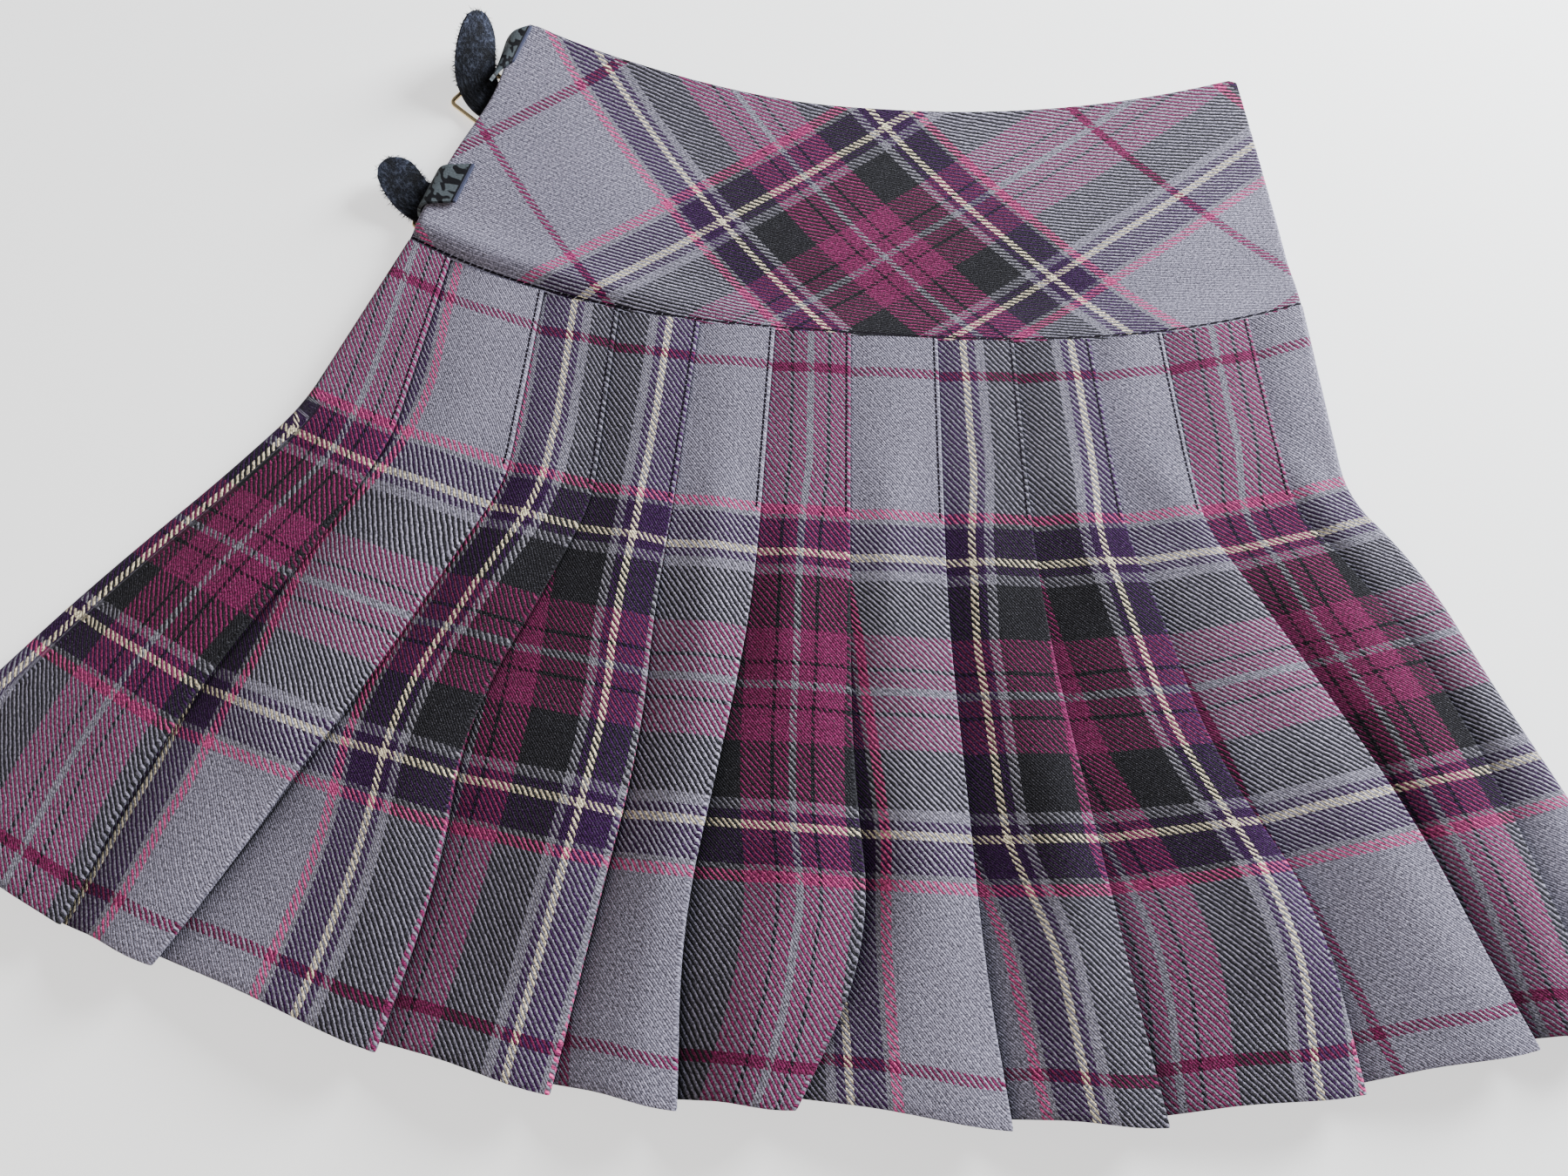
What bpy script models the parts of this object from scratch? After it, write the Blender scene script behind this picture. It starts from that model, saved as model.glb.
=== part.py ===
"""Pleated tartan skirt with a hip yoke and two side buckles, laid flat with its front up.

Sizes are in millimetres and turn into metres when a mesh is made. +X is the viewer's right,
+Y points to the waist, +Z is up and the table is z = 0.
"""

import math

import bpy
import numpy as np

MM = 0.001

# Where the middle of the laid-out skirt falls in the pattern's own coordinates.
MIDDLE_X = -28.44
MIDDLE_Y = 24.22

# Cloth
WALL = 1.0  # thickness of the cloth
PLY = 1.3  # from the middle of one folded layer to the middle of the next
SEAM_GAP = 0.3  # clearance where two sewn pieces meet

# Yoke: its four corners, and how far its two long edges bow down between them
WAIST_LEFT = (-181.0, 270.0)
WAIST_RIGHT = (180.0, 263.0)
HIP_LEFT = (-218.0, 141.0)
HIP_RIGHT = (204.5, 135.0)
WAIST_BOW = 34.0
WAIST_BOW_POWER = 2.2
HIP_BOW = 33.0
HIP_BOW_POWER = 2.8
BOW_SKEW = 0.08  # the bow is a little deeper on the left
CORNER_LEFT = 9.0  # radius of the yoke's top corners
CORNER_RIGHT = 3.0
CORNER_FADE = 6  # how fast that rounding dies away down the yoke
DENT = 5.0  # the left edge is drawn in this much beside the upper buckle
DENT_AT = 0.36  # of the way down, and how far it spreads
DENT_SPREAD = 0.22
DENT_REACH = 0.2  # share of the yoke's width that it pulls on
YOKE_LIFT = 4.4  # the yoke's left end rides on the straps and buckles this far up
LIFTED_TO = 0.45  # share of the width where that lift has gone, and over which it goes
LIFTED_EASE = 0.3
LIFTED_HIP = 0.07  # share of the length over which it goes at the hip seam
YOKE_HIP_BACK = 2.9  # height of the yokes' middle surfaces at the hip seam
YOKE_HIP_FRONT = 8.1
YOKE_AIR = 3.0  # between the two yokes at the waist, middle to middle
AIR_EASE = 0.75  # shares of the length over which that and the hip seam's height come in
HIP_EASE = 0.2
YOKE_COLUMNS = 18
YOKE_ROWS = 8

# Pleated skirt
STRIP = 332.0  # cloth from the hip seam to the hem
STITCHED = 88.0  # each pleat is stitched shut this far down
HIP_LEVEL = 10.2  # height of an unlifted front fold at the seam and at the hem
HEM_LEVEL = 8.2
LEVEL_EASE = 110.0  # distance over which it sinks from the one to the other
SEAM_FADE = 60.0  # rows follow the seam's curve less and less, down to here
SIDE_ROUND = 5.0  # most width over which front and back turn down into each other
SIDE_END = 0.4  # upright stretch at the end of that turn
MOST_OVERLAP = 0.85  # share of a panel's width that hidden layers may fill
LEAST_OVERLAP = 4.5
LEAST_SINGLE = 7.0  # width of every panel with no layer under it
NOSE = 2.0  # most width that an outer fold takes to turn
CARRIED = 0.25  # share of a fold's lift that the panel from under it has too
ROLL_STEP = 3.0  # the rolled edge at the lower left stands this far above the panel beside it
ROLL_WIDTH = 11.0
ROLL_FADE = 20.0  # width over which that panel rises again
ROLL_TOP = 96.0  # distance below the seam where that rolled edge begins, and over which it does
ROLL_EASE = 25.0

# Lines from the hip seam to the hem. Lean is the angle from straight down, positive to the right,
# at the distances below the seam in LEAN_AT. Lift is how far the fold stands above its rest level.
LEAN_AT = (80.0, 108.0, 165.0, 235.0, 300.0)
LIFT_AT = (90.0, 170.0, 250.0, 332.0)
# Each line: x at the hip seam, leans, lifts, and its place along the cloth from a stripe's middle.
LINES = (
    (-218.0, (-21.5, -38.0, -42.0, -38.0, -36.0), (0, 1, 1, 1), -311.0),
    (-196.0, (-8.0, -24.0, -31.0, -25.0, -17.0), (0, 4, 6, 6), -243.8),
    (-150.0, (-3.0, -26.0, -26.0, -28.0, -31.0), (0, 4, 7, 9), -148.0),
    (-114.0, (-1.0, -20.0, -24.0, -2.0, -13.0), (0, 4, 6, 8), -31.3),
    (-76.0, (-2.5, -4.0, 0.0, -9.0, -9.0), (0, 4, 8, 9), 65.5),
    (-41.0, (0.0, -1.0, -7.0, -8.0, 4.0), (0, 5, 9, 11), 170.0),
    (-6.0, (3.0, 3.0, 4.0, 10.0, -24.0), (0, 5, 10, 14), 279.4),
    (34.0, (3.9, 4.0, 8.0, 7.0, 12.0), (0, 4, 8, 10), 375.0),
    (69.0, (6.1, 9.0, 13.0, 14.0, 15.0), (0, 4, 8, 12), 494.0),
    (104.0, (9.6, 22.0, 18.0, 36.0, 12.0), (0, 4, 7, 8), 584.0),
    (137.0, (10.0, 36.0, 34.0, 29.0, 28.0), (0, 4, 8, 9), 693.0),
    (177.0, (10.0, 44.0, 33.0, 22.0, 22.0), (0, 4, 6, 7), 802.6),
    (204.5, (9.0, 45.0, 27.0, 31.0, 28.0), (0, 1, 2, 3), 898.0),
)
FRONT_DROP = (0.35, 1.8)  # share of a panel that lies level, and how sharply the rest falls away
BACK_DROP = (0.55, 2.0)
FRONT_ROWS = (0.0, 40.0, 86.0, 104.0, 130.0, 165.0, 205.0, 245.0, 290.0, STRIP)
BACK_ROWS = (0.0, 86.0, 125.0, 175.0, 230.0, 285.0, STRIP)
PANEL_SHARES = (1.0, 0.8, 0.6, 0.35)
BACK_SHARES = (1.0, 0.78, 0.55)
TURN_STEPS = 4  # facets round an outer fold
TUCK_STEPS = 2  # facets round a hidden inner fold
SIDE_STEPS = 3
BACK_FOLDS = 12
BACK_PITCH = 98.0  # cloth from one back fold to the next

# Straps and buckles, at the viewer's left. Places there are given as out, the distance outwards
# from the straight line between the yoke's left corners, and along, the distance down that line.
LEATHER = 1.6
BRASS_WIRE = 2.2
# Each tab, from its sewn end to its loose one: out, along and height of its waist-side edge, then
# the same of its hip-side edge.
TABS = {
    "upper": (
        (-8.0, 3.5, 9.6, -8.0, 25.5, 9.9),
        (-4.0, 6.0, 9.6, -6.6, 28.0, 10.2),
        (-0.4, 9.5, 8.8, -5.2, 31.0, 10.6),
        (1.8, 14.0, 6.2, -4.0, 34.5, 11.2),
        (1.4, 20.0, 3.8, -3.3, 38.0, 11.8),
        (0.2, 25.5, 2.4, -2.9, 41.5, 12.0),
    ),
    "lower": (
        (-15.0, 88.0, 11.8, -15.0, 110.0, 12.1),
        (-8.0, 90.8, 11.8, -8.0, 112.8, 12.1),
        (-3.4, 92.6, 11.7, -3.4, 114.6, 12.1),
        (-0.5, 94.2, 10.8, -0.5, 116.2, 11.3),
        (1.1, 95.8, 9.0, 1.2, 117.8, 9.2),
        (1.4, 97.4, 6.8, 1.4, 119.2, 6.9),
        (1.4, 98.4, 5.0, 1.4, 120.0, 5.0),
    ),
}
# The waist-side edge of each strap, from where it is sewn to the back yoke to its rounded tip:
# out, along, height, and roll, which turns the strap up about that edge.
STRAP_WIDTH = 20.0
STRAPS = {
    "upper": (
        (-60.0, 36.0, 0.88, 0.0),
        (-36.0, 36.0, 0.88, 0.0),
        (-16.0, 36.0, 0.88, 0.0),
        (-9.0, 36.4, 0.92, 0.0),
        (-4.0, 36.2, 1.5, 2.0),
        (-1.0, 34.4, 2.9, 18.0),
        (1.0, 31.2, 4.4, 36.0),
        (3.0, 27.0, 5.2, 50.0),
        (5.5, 22.0, 5.3, 57.0),
        (8.5, 16.5, 5.2, 59.0),
        (12.0, 10.5, 5.2, 58.0),
        (16.0, 4.5, 5.4, 56.0),
        (20.0, -1.0, 5.8, 54.0),
    ),
    "lower": (
        (-60.0, 102.0, 0.88, 0.0),
        (-36.0, 102.0, 0.88, 0.0),
        (-16.0, 102.0, 0.88, 0.0),
        (-6.2, 102.0, 0.95, 0.0),
        (-1.8, 102.0, 2.1, 0.0),
        (2.6, 101.8, 3.6, 0.0),
        (6.2, 100.8, 4.2, 3.0),
        (10.2, 98.4, 4.7, 9.0),
        (14.5, 95.0, 5.4, 13.0),
        (19.5, 90.0, 6.6, 15.0),
    ),
}
TIP_ANGLES = (0.0, 30.0, 55.0, 75.0, 85.0)
# Corners of each buckle frame, in order round it: out, along, height
FRAMES = {
    "upper": ((-13.5, 36.6, 3.08), (-9.0, 63.2, 3.08), (16.2, 53.2, 1.5), (6.8, 28.2, 1.5)),
    "lower": ((-8.0, 100.3, 3.08), (-8.0, 123.7, 3.08), (4.6, 123.7, 1.25), (4.6, 100.3, 1.25)),
}
FRAME_CORNER = 3.0

BRASS = (0.72, 0.55, 0.28)
SUEDE = (0.02, 0.02, 0.03)
PRINTED = (0.16, 0.19, 0.21)
HEATHER = (0.25, 0.24, 0.28)
AUBERGINE = (0.12, 0.07, 0.14)


def smooth(x):
    """Rises from 0 to 1 as x does, level at both ends."""
    x = min(max(x, 0.0), 1.0)
    return x * x * (3.0 - 2.0 * x)


def bow(share, power):
    """Depth of a yoke edge's bow, 0 at its ends and 1 near its middle."""
    return (1.0 - abs(2.0 * share - 1.0) ** power) * (1.0 + BOW_SKEW * (1.0 - 2.0 * share))


def edge_point(left, right, depth, power, share):
    x = left[0] + (right[0] - left[0]) * share
    y = left[1] + (right[1] - left[1]) * share - depth * bow(share, power)
    return np.array((x, y))


def waist_point(share):
    return edge_point(WAIST_LEFT, WAIST_RIGHT, WAIST_BOW, WAIST_BOW_POWER, share)


def hip_point(share):
    return edge_point(HIP_LEFT, HIP_RIGHT, HIP_BOW, HIP_BOW_POWER, share)


def hip_y(x):
    return hip_point((x - HIP_LEFT[0]) / (HIP_RIGHT[0] - HIP_LEFT[0]))[1]


def line_paths(rows):
    """Plan points of each line at each distance below the seam: array [line, row, xy]."""
    fine = np.arange(0.0, STRIP + 0.5, 1.0)
    paths = []
    for hip_x, leans, _lifts, _cloth in LINES:
        angles = np.radians(np.interp(fine, LEAN_AT, leans))
        x = hip_x + np.concatenate(([0.0], np.cumsum(np.sin(angles[:-1]))))
        start = hip_y(hip_x) - SEAM_GAP
        y = start - np.concatenate(([0.0], np.cumsum(np.cos(angles[:-1]))))
        paths.append(np.stack((np.interp(rows, fine, x), np.interp(rows, fine, y)), axis=1))
    return np.array(paths)


def line_lifts(rows):
    return np.array([np.interp(rows, LIFT_AT, lifts) for _x, _leans, lifts, _c in LINES])


def front_level(down):
    """Height of an unlifted front fold's middle surface."""
    return HEM_LEVEL + (HIP_LEVEL - HEM_LEVEL) * (1.0 - smooth((down - STITCHED) / LEVEL_EASE))


def drop(share, shape):
    """How far a panel has fallen towards the layer under its neighbour, from 0 to 1."""
    level_share, power = shape
    return max(0.0, (share - level_share) / (1.0 - level_share)) ** power


def side_height(down):
    """Where the front and back walls meet at the sides."""
    return 0.5 * (front_level(down) + WALL / 2)


def side_turn_points(crown, meet):
    """How a wall bends from its level stretch into the side: (inward, height) pairs, level first."""
    end = meet + math.copysign(SIDE_END, crown - meet)
    round_in = min(abs(crown - end), SIDE_ROUND - WALL / 2)
    points = []
    for step in range(SIDE_STEPS + 1):
        turn = math.pi / 2 * step / SIDE_STEPS
        inward = WALL / 2 + round_in * (1.0 - math.sin(turn))
        points.append((inward, end + (crown - end) * math.cos(turn)))
    return points + [(WALL / 2, meet)]


class Row:
    """One row of a pleated half, seen with its outside up. Points run from left to right."""

    def __init__(self, lines, lifts, cloth, level, side, drops, down, hip_lines, seam):
        self.lines = lines
        self.lifts = lifts
        self.cloth = cloth
        self.level = level
        self.side = side
        self.drops = drops
        self.down = down
        self.hip_lines = hip_lines
        self.seam = seam
        self.points = []

    def width(self, panel):
        return float(np.linalg.norm(self.lines[panel + 1] - self.lines[panel]))

    def plan(self, panel, back):
        """Plan point this far back from a panel's right-hand line."""
        right, left = self.lines[panel + 1], self.lines[panel]
        share = back / self.width(panel)
        point = right + (left - right) * share
        hip_right, hip_left = self.hip_lines[panel + 1], self.hip_lines[panel]
        hip = hip_right + (hip_left - hip_right) * min(max(share, 0.0), 1.0)
        fade = max(0.0, 1.0 - self.down / SEAM_FADE) ** 2
        return point + np.array((0.0, (self.seam(hip[0]) - SEAM_GAP - hip[1]) * fade))

    def add(self, panel, back, height):
        x, y = self.plan(panel, back)
        self.points.append((x, y, height))

    def foot(self, line):
        """Height of the panel that comes out from under this fold."""
        return self.level - 2 * PLY + CARRIED * self.lifts[line]

    def top(self, panel, back):
        """Height of a panel's middle surface."""
        share = min(max(back / self.width(panel), 0.0), 1.0)
        wave = 0.5 * (1.0 + math.cos(math.pi * share))
        height = self.level + self.lifts[panel + 1] * wave
        if panel == 0:
            return height - self.roll(self.width(0) - back)
        fall = 2 * PLY * drop(share, self.drops)
        return height + CARRIED * self.lifts[panel] * (1.0 - wave) - fall

    def roll(self, inward):
        """Depth of the trough beside the rolled edge at the lower left."""
        depth = ROLL_STEP * smooth((self.down - ROLL_TOP) / ROLL_EASE)
        if self.side < 0 or inward < ROLL_WIDTH - 1.0:
            return 0.0
        rise = smooth((inward - ROLL_WIDTH + 1.0) / 2.0)
        return depth * rise * math.exp(-(inward - ROLL_WIDTH) / ROLL_FADE)

    def overlap(self, line):
        """How far a fold's hidden layers reach back under its own panel."""
        panel = line - 1
        hidden = 0.5 * (self.cloth[line + 1] - self.cloth[line] - self.width(line))
        most = min(MOST_OVERLAP * self.width(panel), self.width(panel) - LEAST_SINGLE)
        return min(max(hidden, LEAST_OVERLAP), most)

    def side_turn(self, panel, at_left):
        """The wall bends down to meet the other half."""
        width = self.width(panel)
        meet = self.side + SEAM_GAP / 2
        crown = self.top(panel, width - SIDE_ROUND if at_left else SIDE_ROUND)
        turns = side_turn_points(crown, meet)
        for inward, height in turns[::-1] if at_left else turns:
            self.add(panel, width - inward if at_left else inward, height)

    def fold(self, line):
        """An outer fold, the layer under it, the inner fold and the hidden start of the next panel."""
        panel = line - 1
        reach = self.overlap(line)
        foot = self.foot(line)

        def hidden(back):
            return min(self.top(panel, back) - 2 * PLY, foot)

        def under(back):
            share = 0.5 * (1.0 - back / reach)
            spare = self.top(panel, back) - hidden(back) - 2 * PLY
            return hidden(back) + PLY + share * spare

        deep = self.top(panel, 0.0) - under(0.0)
        nose = min(deep / 2, NOSE)
        middle = 0.5 * (self.top(panel, nose) + under(nose))
        half = 0.5 * (self.top(panel, nose) - under(nose))
        for step in range(TURN_STEPS + 1):
            turn = math.pi * step / TURN_STEPS
            self.add(panel, nose * (1.0 - math.sin(turn)), middle + half * math.cos(turn))
        tuck = PLY / 2
        self.add(panel, 0.5 * (nose + reach), under(0.5 * (nose + reach)))
        middle = hidden(reach - tuck) + PLY / 2
        for step in range(TUCK_STEPS + 1):
            turn = math.pi * step / TUCK_STEPS
            back = reach - tuck + tuck * math.sin(turn)
            self.add(panel, back, middle + tuck * math.cos(turn))
        self.add(panel, 0.5 * reach, hidden(0.5 * reach))

    def build(self, shares):
        last = len(self.lines) - 2
        self.side_turn(0, True)
        if self.side > 0:
            for inward in (ROLL_WIDTH - 1.0, ROLL_WIDTH + 1.0):
                self.add(0, self.width(0) - inward, self.top(0, self.width(0) - inward))
            rest = self.width(0) - ROLL_WIDTH - 1.0
        else:
            rest = self.width(0) - SIDE_ROUND
        for share in (0.66, 0.33):
            self.add(0, share * rest, self.top(0, share * rest))
        for panel in range(1, last + 1):
            self.fold(panel)
            width = self.width(panel)
            for share in shares:
                self.add(panel, share * width, self.top(panel, share * width))
        self.points.pop()
        self.side_turn(last, False)
        return self.points


def mirrored_hip_y(x):
    return hip_y(-x)


def half_grid(rows, mirrored):
    """Middle surface of a pleated half: array [row, across, xyz]. The back is worked out mirrored."""
    lines = line_paths(np.array(rows))
    lifts = line_lifts(np.array(rows))
    cloth = [row[3] for row in LINES]
    if mirrored:
        lines = back_lines(lines)
        lifts = np.zeros(lines.shape[:2])
        cloth = [BACK_PITCH * line for line in range(len(lines))]
    seam = mirrored_hip_y if mirrored else hip_y
    drops = BACK_DROP if mirrored else FRONT_DROP
    grid = []
    for index, down in enumerate(rows):
        level = -WALL / 2 if mirrored else front_level(down)
        side = -side_height(down) if mirrored else side_height(down)
        here, lift = lines[:, index], lifts[:, index]
        row = Row(here, lift, cloth, level, side, drops, down, lines[:, 0], seam)
        grid.append(row.build(BACK_SHARES if mirrored else PANEL_SHARES))
    grid = np.array(grid)
    if mirrored:
        grid = grid * np.array((-1.0, 1.0, -1.0))
    return grid


def back_lines(lines):
    """The back's folds, evenly spread between the same two sides, mirrored to lie outside up."""
    shares = np.linspace(0.0, 1.0, BACK_FOLDS + 2)
    made = []
    for row in range(lines.shape[1]):
        across = lines[:, row]
        steps = np.linalg.norm(np.diff(across, axis=0), axis=1)
        along = np.concatenate(([0.0], np.cumsum(steps))) / steps.sum()
        x = np.interp(shares, along, across[:, 0])
        y = np.interp(shares, along, across[:, 1])
        if row == 0:
            y = np.array([hip_y(value) - SEAM_GAP for value in x])
        made.append(np.stack((-x[::-1], y[::-1]), axis=1))
    return np.array(made).transpose(1, 0, 2)


def normals(grid):
    """Unit normals of a middle surface, on the side that faces out."""
    along = np.gradient(grid, axis=0)
    across = np.gradient(grid, axis=1)
    found = np.cross(along, across)
    return found / np.linalg.norm(found, axis=2, keepdims=True)


def wall(grid, thickness):
    """Points and faces of a closed wall round a middle surface."""
    rows, columns = grid.shape[:2]
    offset = normals(grid) * thickness / 2
    points = np.concatenate(((grid + offset).reshape(-1, 3), (grid - offset).reshape(-1, 3)))
    inner = rows * columns
    faces = []
    for row in range(rows - 1):
        for column in range(columns - 1):
            a = row * columns + column
            b, c, d = a + columns, a + columns + 1, a + 1
            faces.append((a, b, c, d))
            faces.append((inner + a, inner + d, inner + c, inner + b))
    for row in range(rows - 1):
        a, b = row * columns, (row + 1) * columns
        faces.append((a, inner + a, inner + b, b))
        c, d = a + columns - 1, b + columns - 1
        faces.append((c, d, inner + d, inner + c))
    for column in range(columns - 1):
        a = column
        faces.append((a, a + 1, inner + a + 1, inner + a))
        c = (rows - 1) * columns + column
        faces.append((c, inner + c, inner + c + 1, c + 1))
    return points, faces


def material(name, colour, roughness, metallic=0.0):
    made = bpy.data.materials.new(name)
    made.use_nodes = True
    shader = made.node_tree.nodes["Principled BSDF"]
    shader.inputs["Base Color"].default_value = (*colour, 1.0)
    shader.inputs["Roughness"].default_value = roughness
    shader.inputs["Metallic"].default_value = metallic
    return made


def add_object(name, points, faces, look):
    mesh = bpy.data.meshes.new(name)
    moved = (np.asarray(points) - np.array((MIDDLE_X, MIDDLE_Y, 0.0))) * MM
    mesh.from_pydata(moved.tolist(), [], faces)
    mesh.validate()
    mesh.shade_smooth()
    mesh.set_sharp_from_angle(angle=math.radians(40))
    mesh.materials.append(look)
    made = bpy.data.objects.new(name, mesh)
    bpy.context.scene.collection.objects.link(made)
    return made


def near_hip(down):
    """Rises from 0 to 1 over the last stretch of the yoke above the hip seam."""
    return smooth((down - 1.0 + HIP_EASE) / HIP_EASE)


def back_yoke_height(share, down):
    """Middle of the back yoke's wall; down runs from 0 at the waist to 1 at the hip seam."""
    lifted = smooth((LIFTED_TO - share) / LIFTED_EASE) * smooth((1.0 - down) / LIFTED_HIP)
    return WALL / 2 + YOKE_LIFT * lifted + (YOKE_HIP_BACK - WALL / 2) * near_hip(down)


def front_yoke_height(share, down):
    air = YOKE_AIR + (YOKE_HIP_FRONT - YOKE_HIP_BACK - YOKE_AIR) * smooth(down / AIR_EASE)
    return back_yoke_height(share, down) + air


def yoke_side_height(share, down):
    """Where the two yokes meet at the sides."""
    level = 0.5 * (back_yoke_height(share, down) + front_yoke_height(share, down))
    return level + (side_height(0.0) - level) * near_hip(down)


def yoke_plan(share, down):
    """Plan point of the yokes, with their top corners rounded."""
    top, bottom = waist_point(share), hip_point(share)
    point = top + (bottom - top) * down
    for corner, inward in ((CORNER_LEFT, share), (CORNER_RIGHT, 1.0 - share)):
        near = corner - inward * (WAIST_RIGHT[0] - WAIST_LEFT[0])
        if near > 0:
            cut = corner - math.sqrt(max(corner**2 - near**2, 0.0))
            point = point + np.array((0.0, -cut * (1.0 - down) ** CORNER_FADE))
    dent = DENT * math.exp(-(((down - DENT_AT) / DENT_SPREAD) ** 2))
    return point + np.array((dent * max(0.0, 1.0 - share / DENT_REACH) ** 2, 0.0))


def yoke_grid(front):
    """Middle surface of one yoke: array [row, across, xyz], waist first."""
    grid = []
    span = WAIST_RIGHT[0] - WAIST_LEFT[0]
    for row in range(YOKE_ROWS + 1):
        down = row / YOKE_ROWS
        points = []
        edge = SIDE_ROUND / span
        inner = np.linspace(edge, 1.0 - edge, YOKE_COLUMNS + 1)
        height = front_yoke_height if front else back_yoke_height
        gap = SEAM_GAP / 2 if front else -SEAM_GAP / 2
        left = side_turn_points(height(edge, down), yoke_side_height(0.0, down) + gap)
        right = side_turn_points(height(1.0 - edge, down), yoke_side_height(1.0, down) + gap)
        for inward, level in left[::-1]:
            points.append((*yoke_plan(inward / span, down), level))
        for share in inner:
            points.append((*yoke_plan(share, down), height(share, down)))
        for inward, level in right:
            points.append((*yoke_plan(1.0 - inward / span, down), level))
        grid.append(points)
    grid = np.array(grid)
    return grid if front else grid[:, ::-1]


def edge_place(out, along, height):
    """Point given by its distance out from the yoke's left edge and its distance down that edge."""
    run = np.array(HIP_LEFT) - np.array(WAIST_LEFT)
    run /= np.linalg.norm(run)
    x, y = np.array(WAIST_LEFT) + run * along + np.array((run[1], -run[0])) * out
    return np.array((x, y, height))


def strap_grid(stations, steps=3, across=4):
    """Middle surface of a strap that hangs on its waist-side edge, with a rounded tip."""
    stations = np.array(stations)
    at = np.linspace(0, len(stations) - 1, (len(stations) - 1) * steps + 1)
    path = np.stack([catmull(stations[:, column], at) for column in range(4)], axis=1)
    edge = np.array([edge_place(*row[:3]) for row in path])
    length = np.concatenate(([0.0], np.cumsum(np.linalg.norm(np.diff(edge, axis=0), axis=1))))
    tip = [length[-1] - STRAP_WIDTH / 2 * (1.0 - math.sin(math.radians(a))) for a in TIP_ANGLES]
    target = np.concatenate((length[length < tip[0] - 1.0], tip))
    half_widths = [STRAP_WIDTH / 2] * (len(target) - len(tip))
    half_widths += [STRAP_WIDTH / 2 * math.cos(math.radians(angle)) for angle in TIP_ANGLES]
    run = np.gradient(edge, axis=0)
    rows = []
    for place, half in zip(target, half_widths):
        point = np.array([np.interp(place, length, edge[:, axis]) for axis in range(3)])
        heading = np.array([np.interp(place, length, run[:, axis]) for axis in range(3)])
        roll = math.radians(np.interp(place, length, path[:, 3]))
        heading /= np.linalg.norm(heading)
        level = np.cross(heading, (0.0, 0.0, -1.0))
        level /= np.linalg.norm(level)
        side = level * math.cos(roll) + np.cross(heading, level) * math.sin(roll)
        middle = point + side * STRAP_WIDTH / 2
        rows.append([middle + side * half * share for share in np.linspace(-1, 1, across + 1)])
    return np.array(rows)


def tab_grid(stations, steps=3, across=4):
    """Middle surface of a tab that is sewn to the front yoke and wraps round its left edge."""
    stations = np.array(stations)
    at = np.linspace(0, len(stations) - 1, (len(stations) - 1) * steps + 1)
    edges = np.stack([catmull(stations[:, column], at) for column in range(6)], axis=1)
    rows = []
    for edge in edges:
        first, last = edge_place(*edge[:3]), edge_place(*edge[3:])
        rows.append([first + (last - first) * share for share in np.linspace(0, 1, across + 1)])
    return np.array(rows)


def ring(path, thickness, sides=8):
    """Points and faces of a round wire along a closed path."""
    path = np.array(path)
    count = len(path)
    run = np.roll(path, -1, axis=0) - np.roll(path, 1, axis=0)
    points, faces = [], []
    for point, heading in zip(path, run):
        heading = heading / np.linalg.norm(heading)
        flat = np.cross(heading, (0.0, 0.0, 1.0))
        flat /= np.linalg.norm(flat)
        up = np.cross(flat, heading)
        for side in range(sides):
            turn = 2 * math.pi * side / sides
            points.append(point + (flat * math.cos(turn) + up * math.sin(turn)) * thickness / 2)
    for station in range(count):
        after = (station + 1) % count
        for side in range(sides):
            beside = (side + 1) % sides
            a, b = station * sides + side, station * sides + beside
            c, d = after * sides + beside, after * sides + side
            faces.append((a, d, c, b))
    return points, faces


def frame_path(corners, steps=4):
    """Middle line of a buckle frame, its four corners rounded."""
    corners = [edge_place(*corner) for corner in corners]
    path = []
    for index, corner in enumerate(corners):
        before, after = corners[index - 1], corners[(index + 1) % 4]
        start = corner + (before - corner) * FRAME_CORNER / np.linalg.norm(before - corner)
        end = corner + (after - corner) * FRAME_CORNER / np.linalg.norm(after - corner)
        for step in range(steps):
            share = step / (steps - 1)
            path.append((1 - share) ** 2 * start + 2 * share * (1 - share) * corner + share**2 * end)
    return path


def catmull(values, at):
    """Smooth curve through evenly spaced values."""
    padded = np.concatenate(([2 * values[0] - values[1]], values, [2 * values[-1] - values[-2]]))
    index = np.minimum(at.astype(int), len(values) - 2)
    t = at - index
    a, b, c, d = (padded[index + k] for k in range(4))
    cubic = (3 * b - a - 3 * c + d) * t**3
    return 0.5 * (2 * b + (c - a) * t + (2 * a - 5 * b + 4 * c - d) * t**2 + cubic)


def main():
    for item in list(bpy.data.objects):
        bpy.data.objects.remove(item, do_unlink=True)
    heather = material("heather_tartan", HEATHER, 0.9)
    aubergine = material("aubergine_tartan", AUBERGINE, 0.9)
    printed = material("printed_leather", PRINTED, 0.5)
    suede = material("suede", SUEDE, 0.95)
    brass = material("brass", BRASS, 0.3, 1.0)
    add_object("front_skirt", *wall(half_grid(FRONT_ROWS, False), WALL), aubergine)
    add_object("back_skirt", *wall(half_grid(BACK_ROWS, True), WALL), aubergine)
    add_object("front_yoke", *wall(yoke_grid(True), WALL), heather)
    add_object("back_yoke", *wall(yoke_grid(False), WALL), heather)
    for name, stations in TABS.items():
        add_object(f"tab_{name}", *wall(tab_grid(stations), LEATHER), printed)
    for name, stations in STRAPS.items():
        add_object(f"strap_{name}", *wall(strap_grid(stations), LEATHER), suede)
    for name, corners in FRAMES.items():
        add_object(f"buckle_{name}", *ring(frame_path(corners), BRASS_WIRE), brass)


main()
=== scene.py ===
"""Looks of the pleated tartan skirt: twill cloth, leather, suede and brass on the CAD's forms.

Sizes are in millimetres in the skirt's pattern frame, as in the CAD, and turn into metres when a
mesh is made. Distances down the skirt start at the hip seam.
"""

import math

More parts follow.
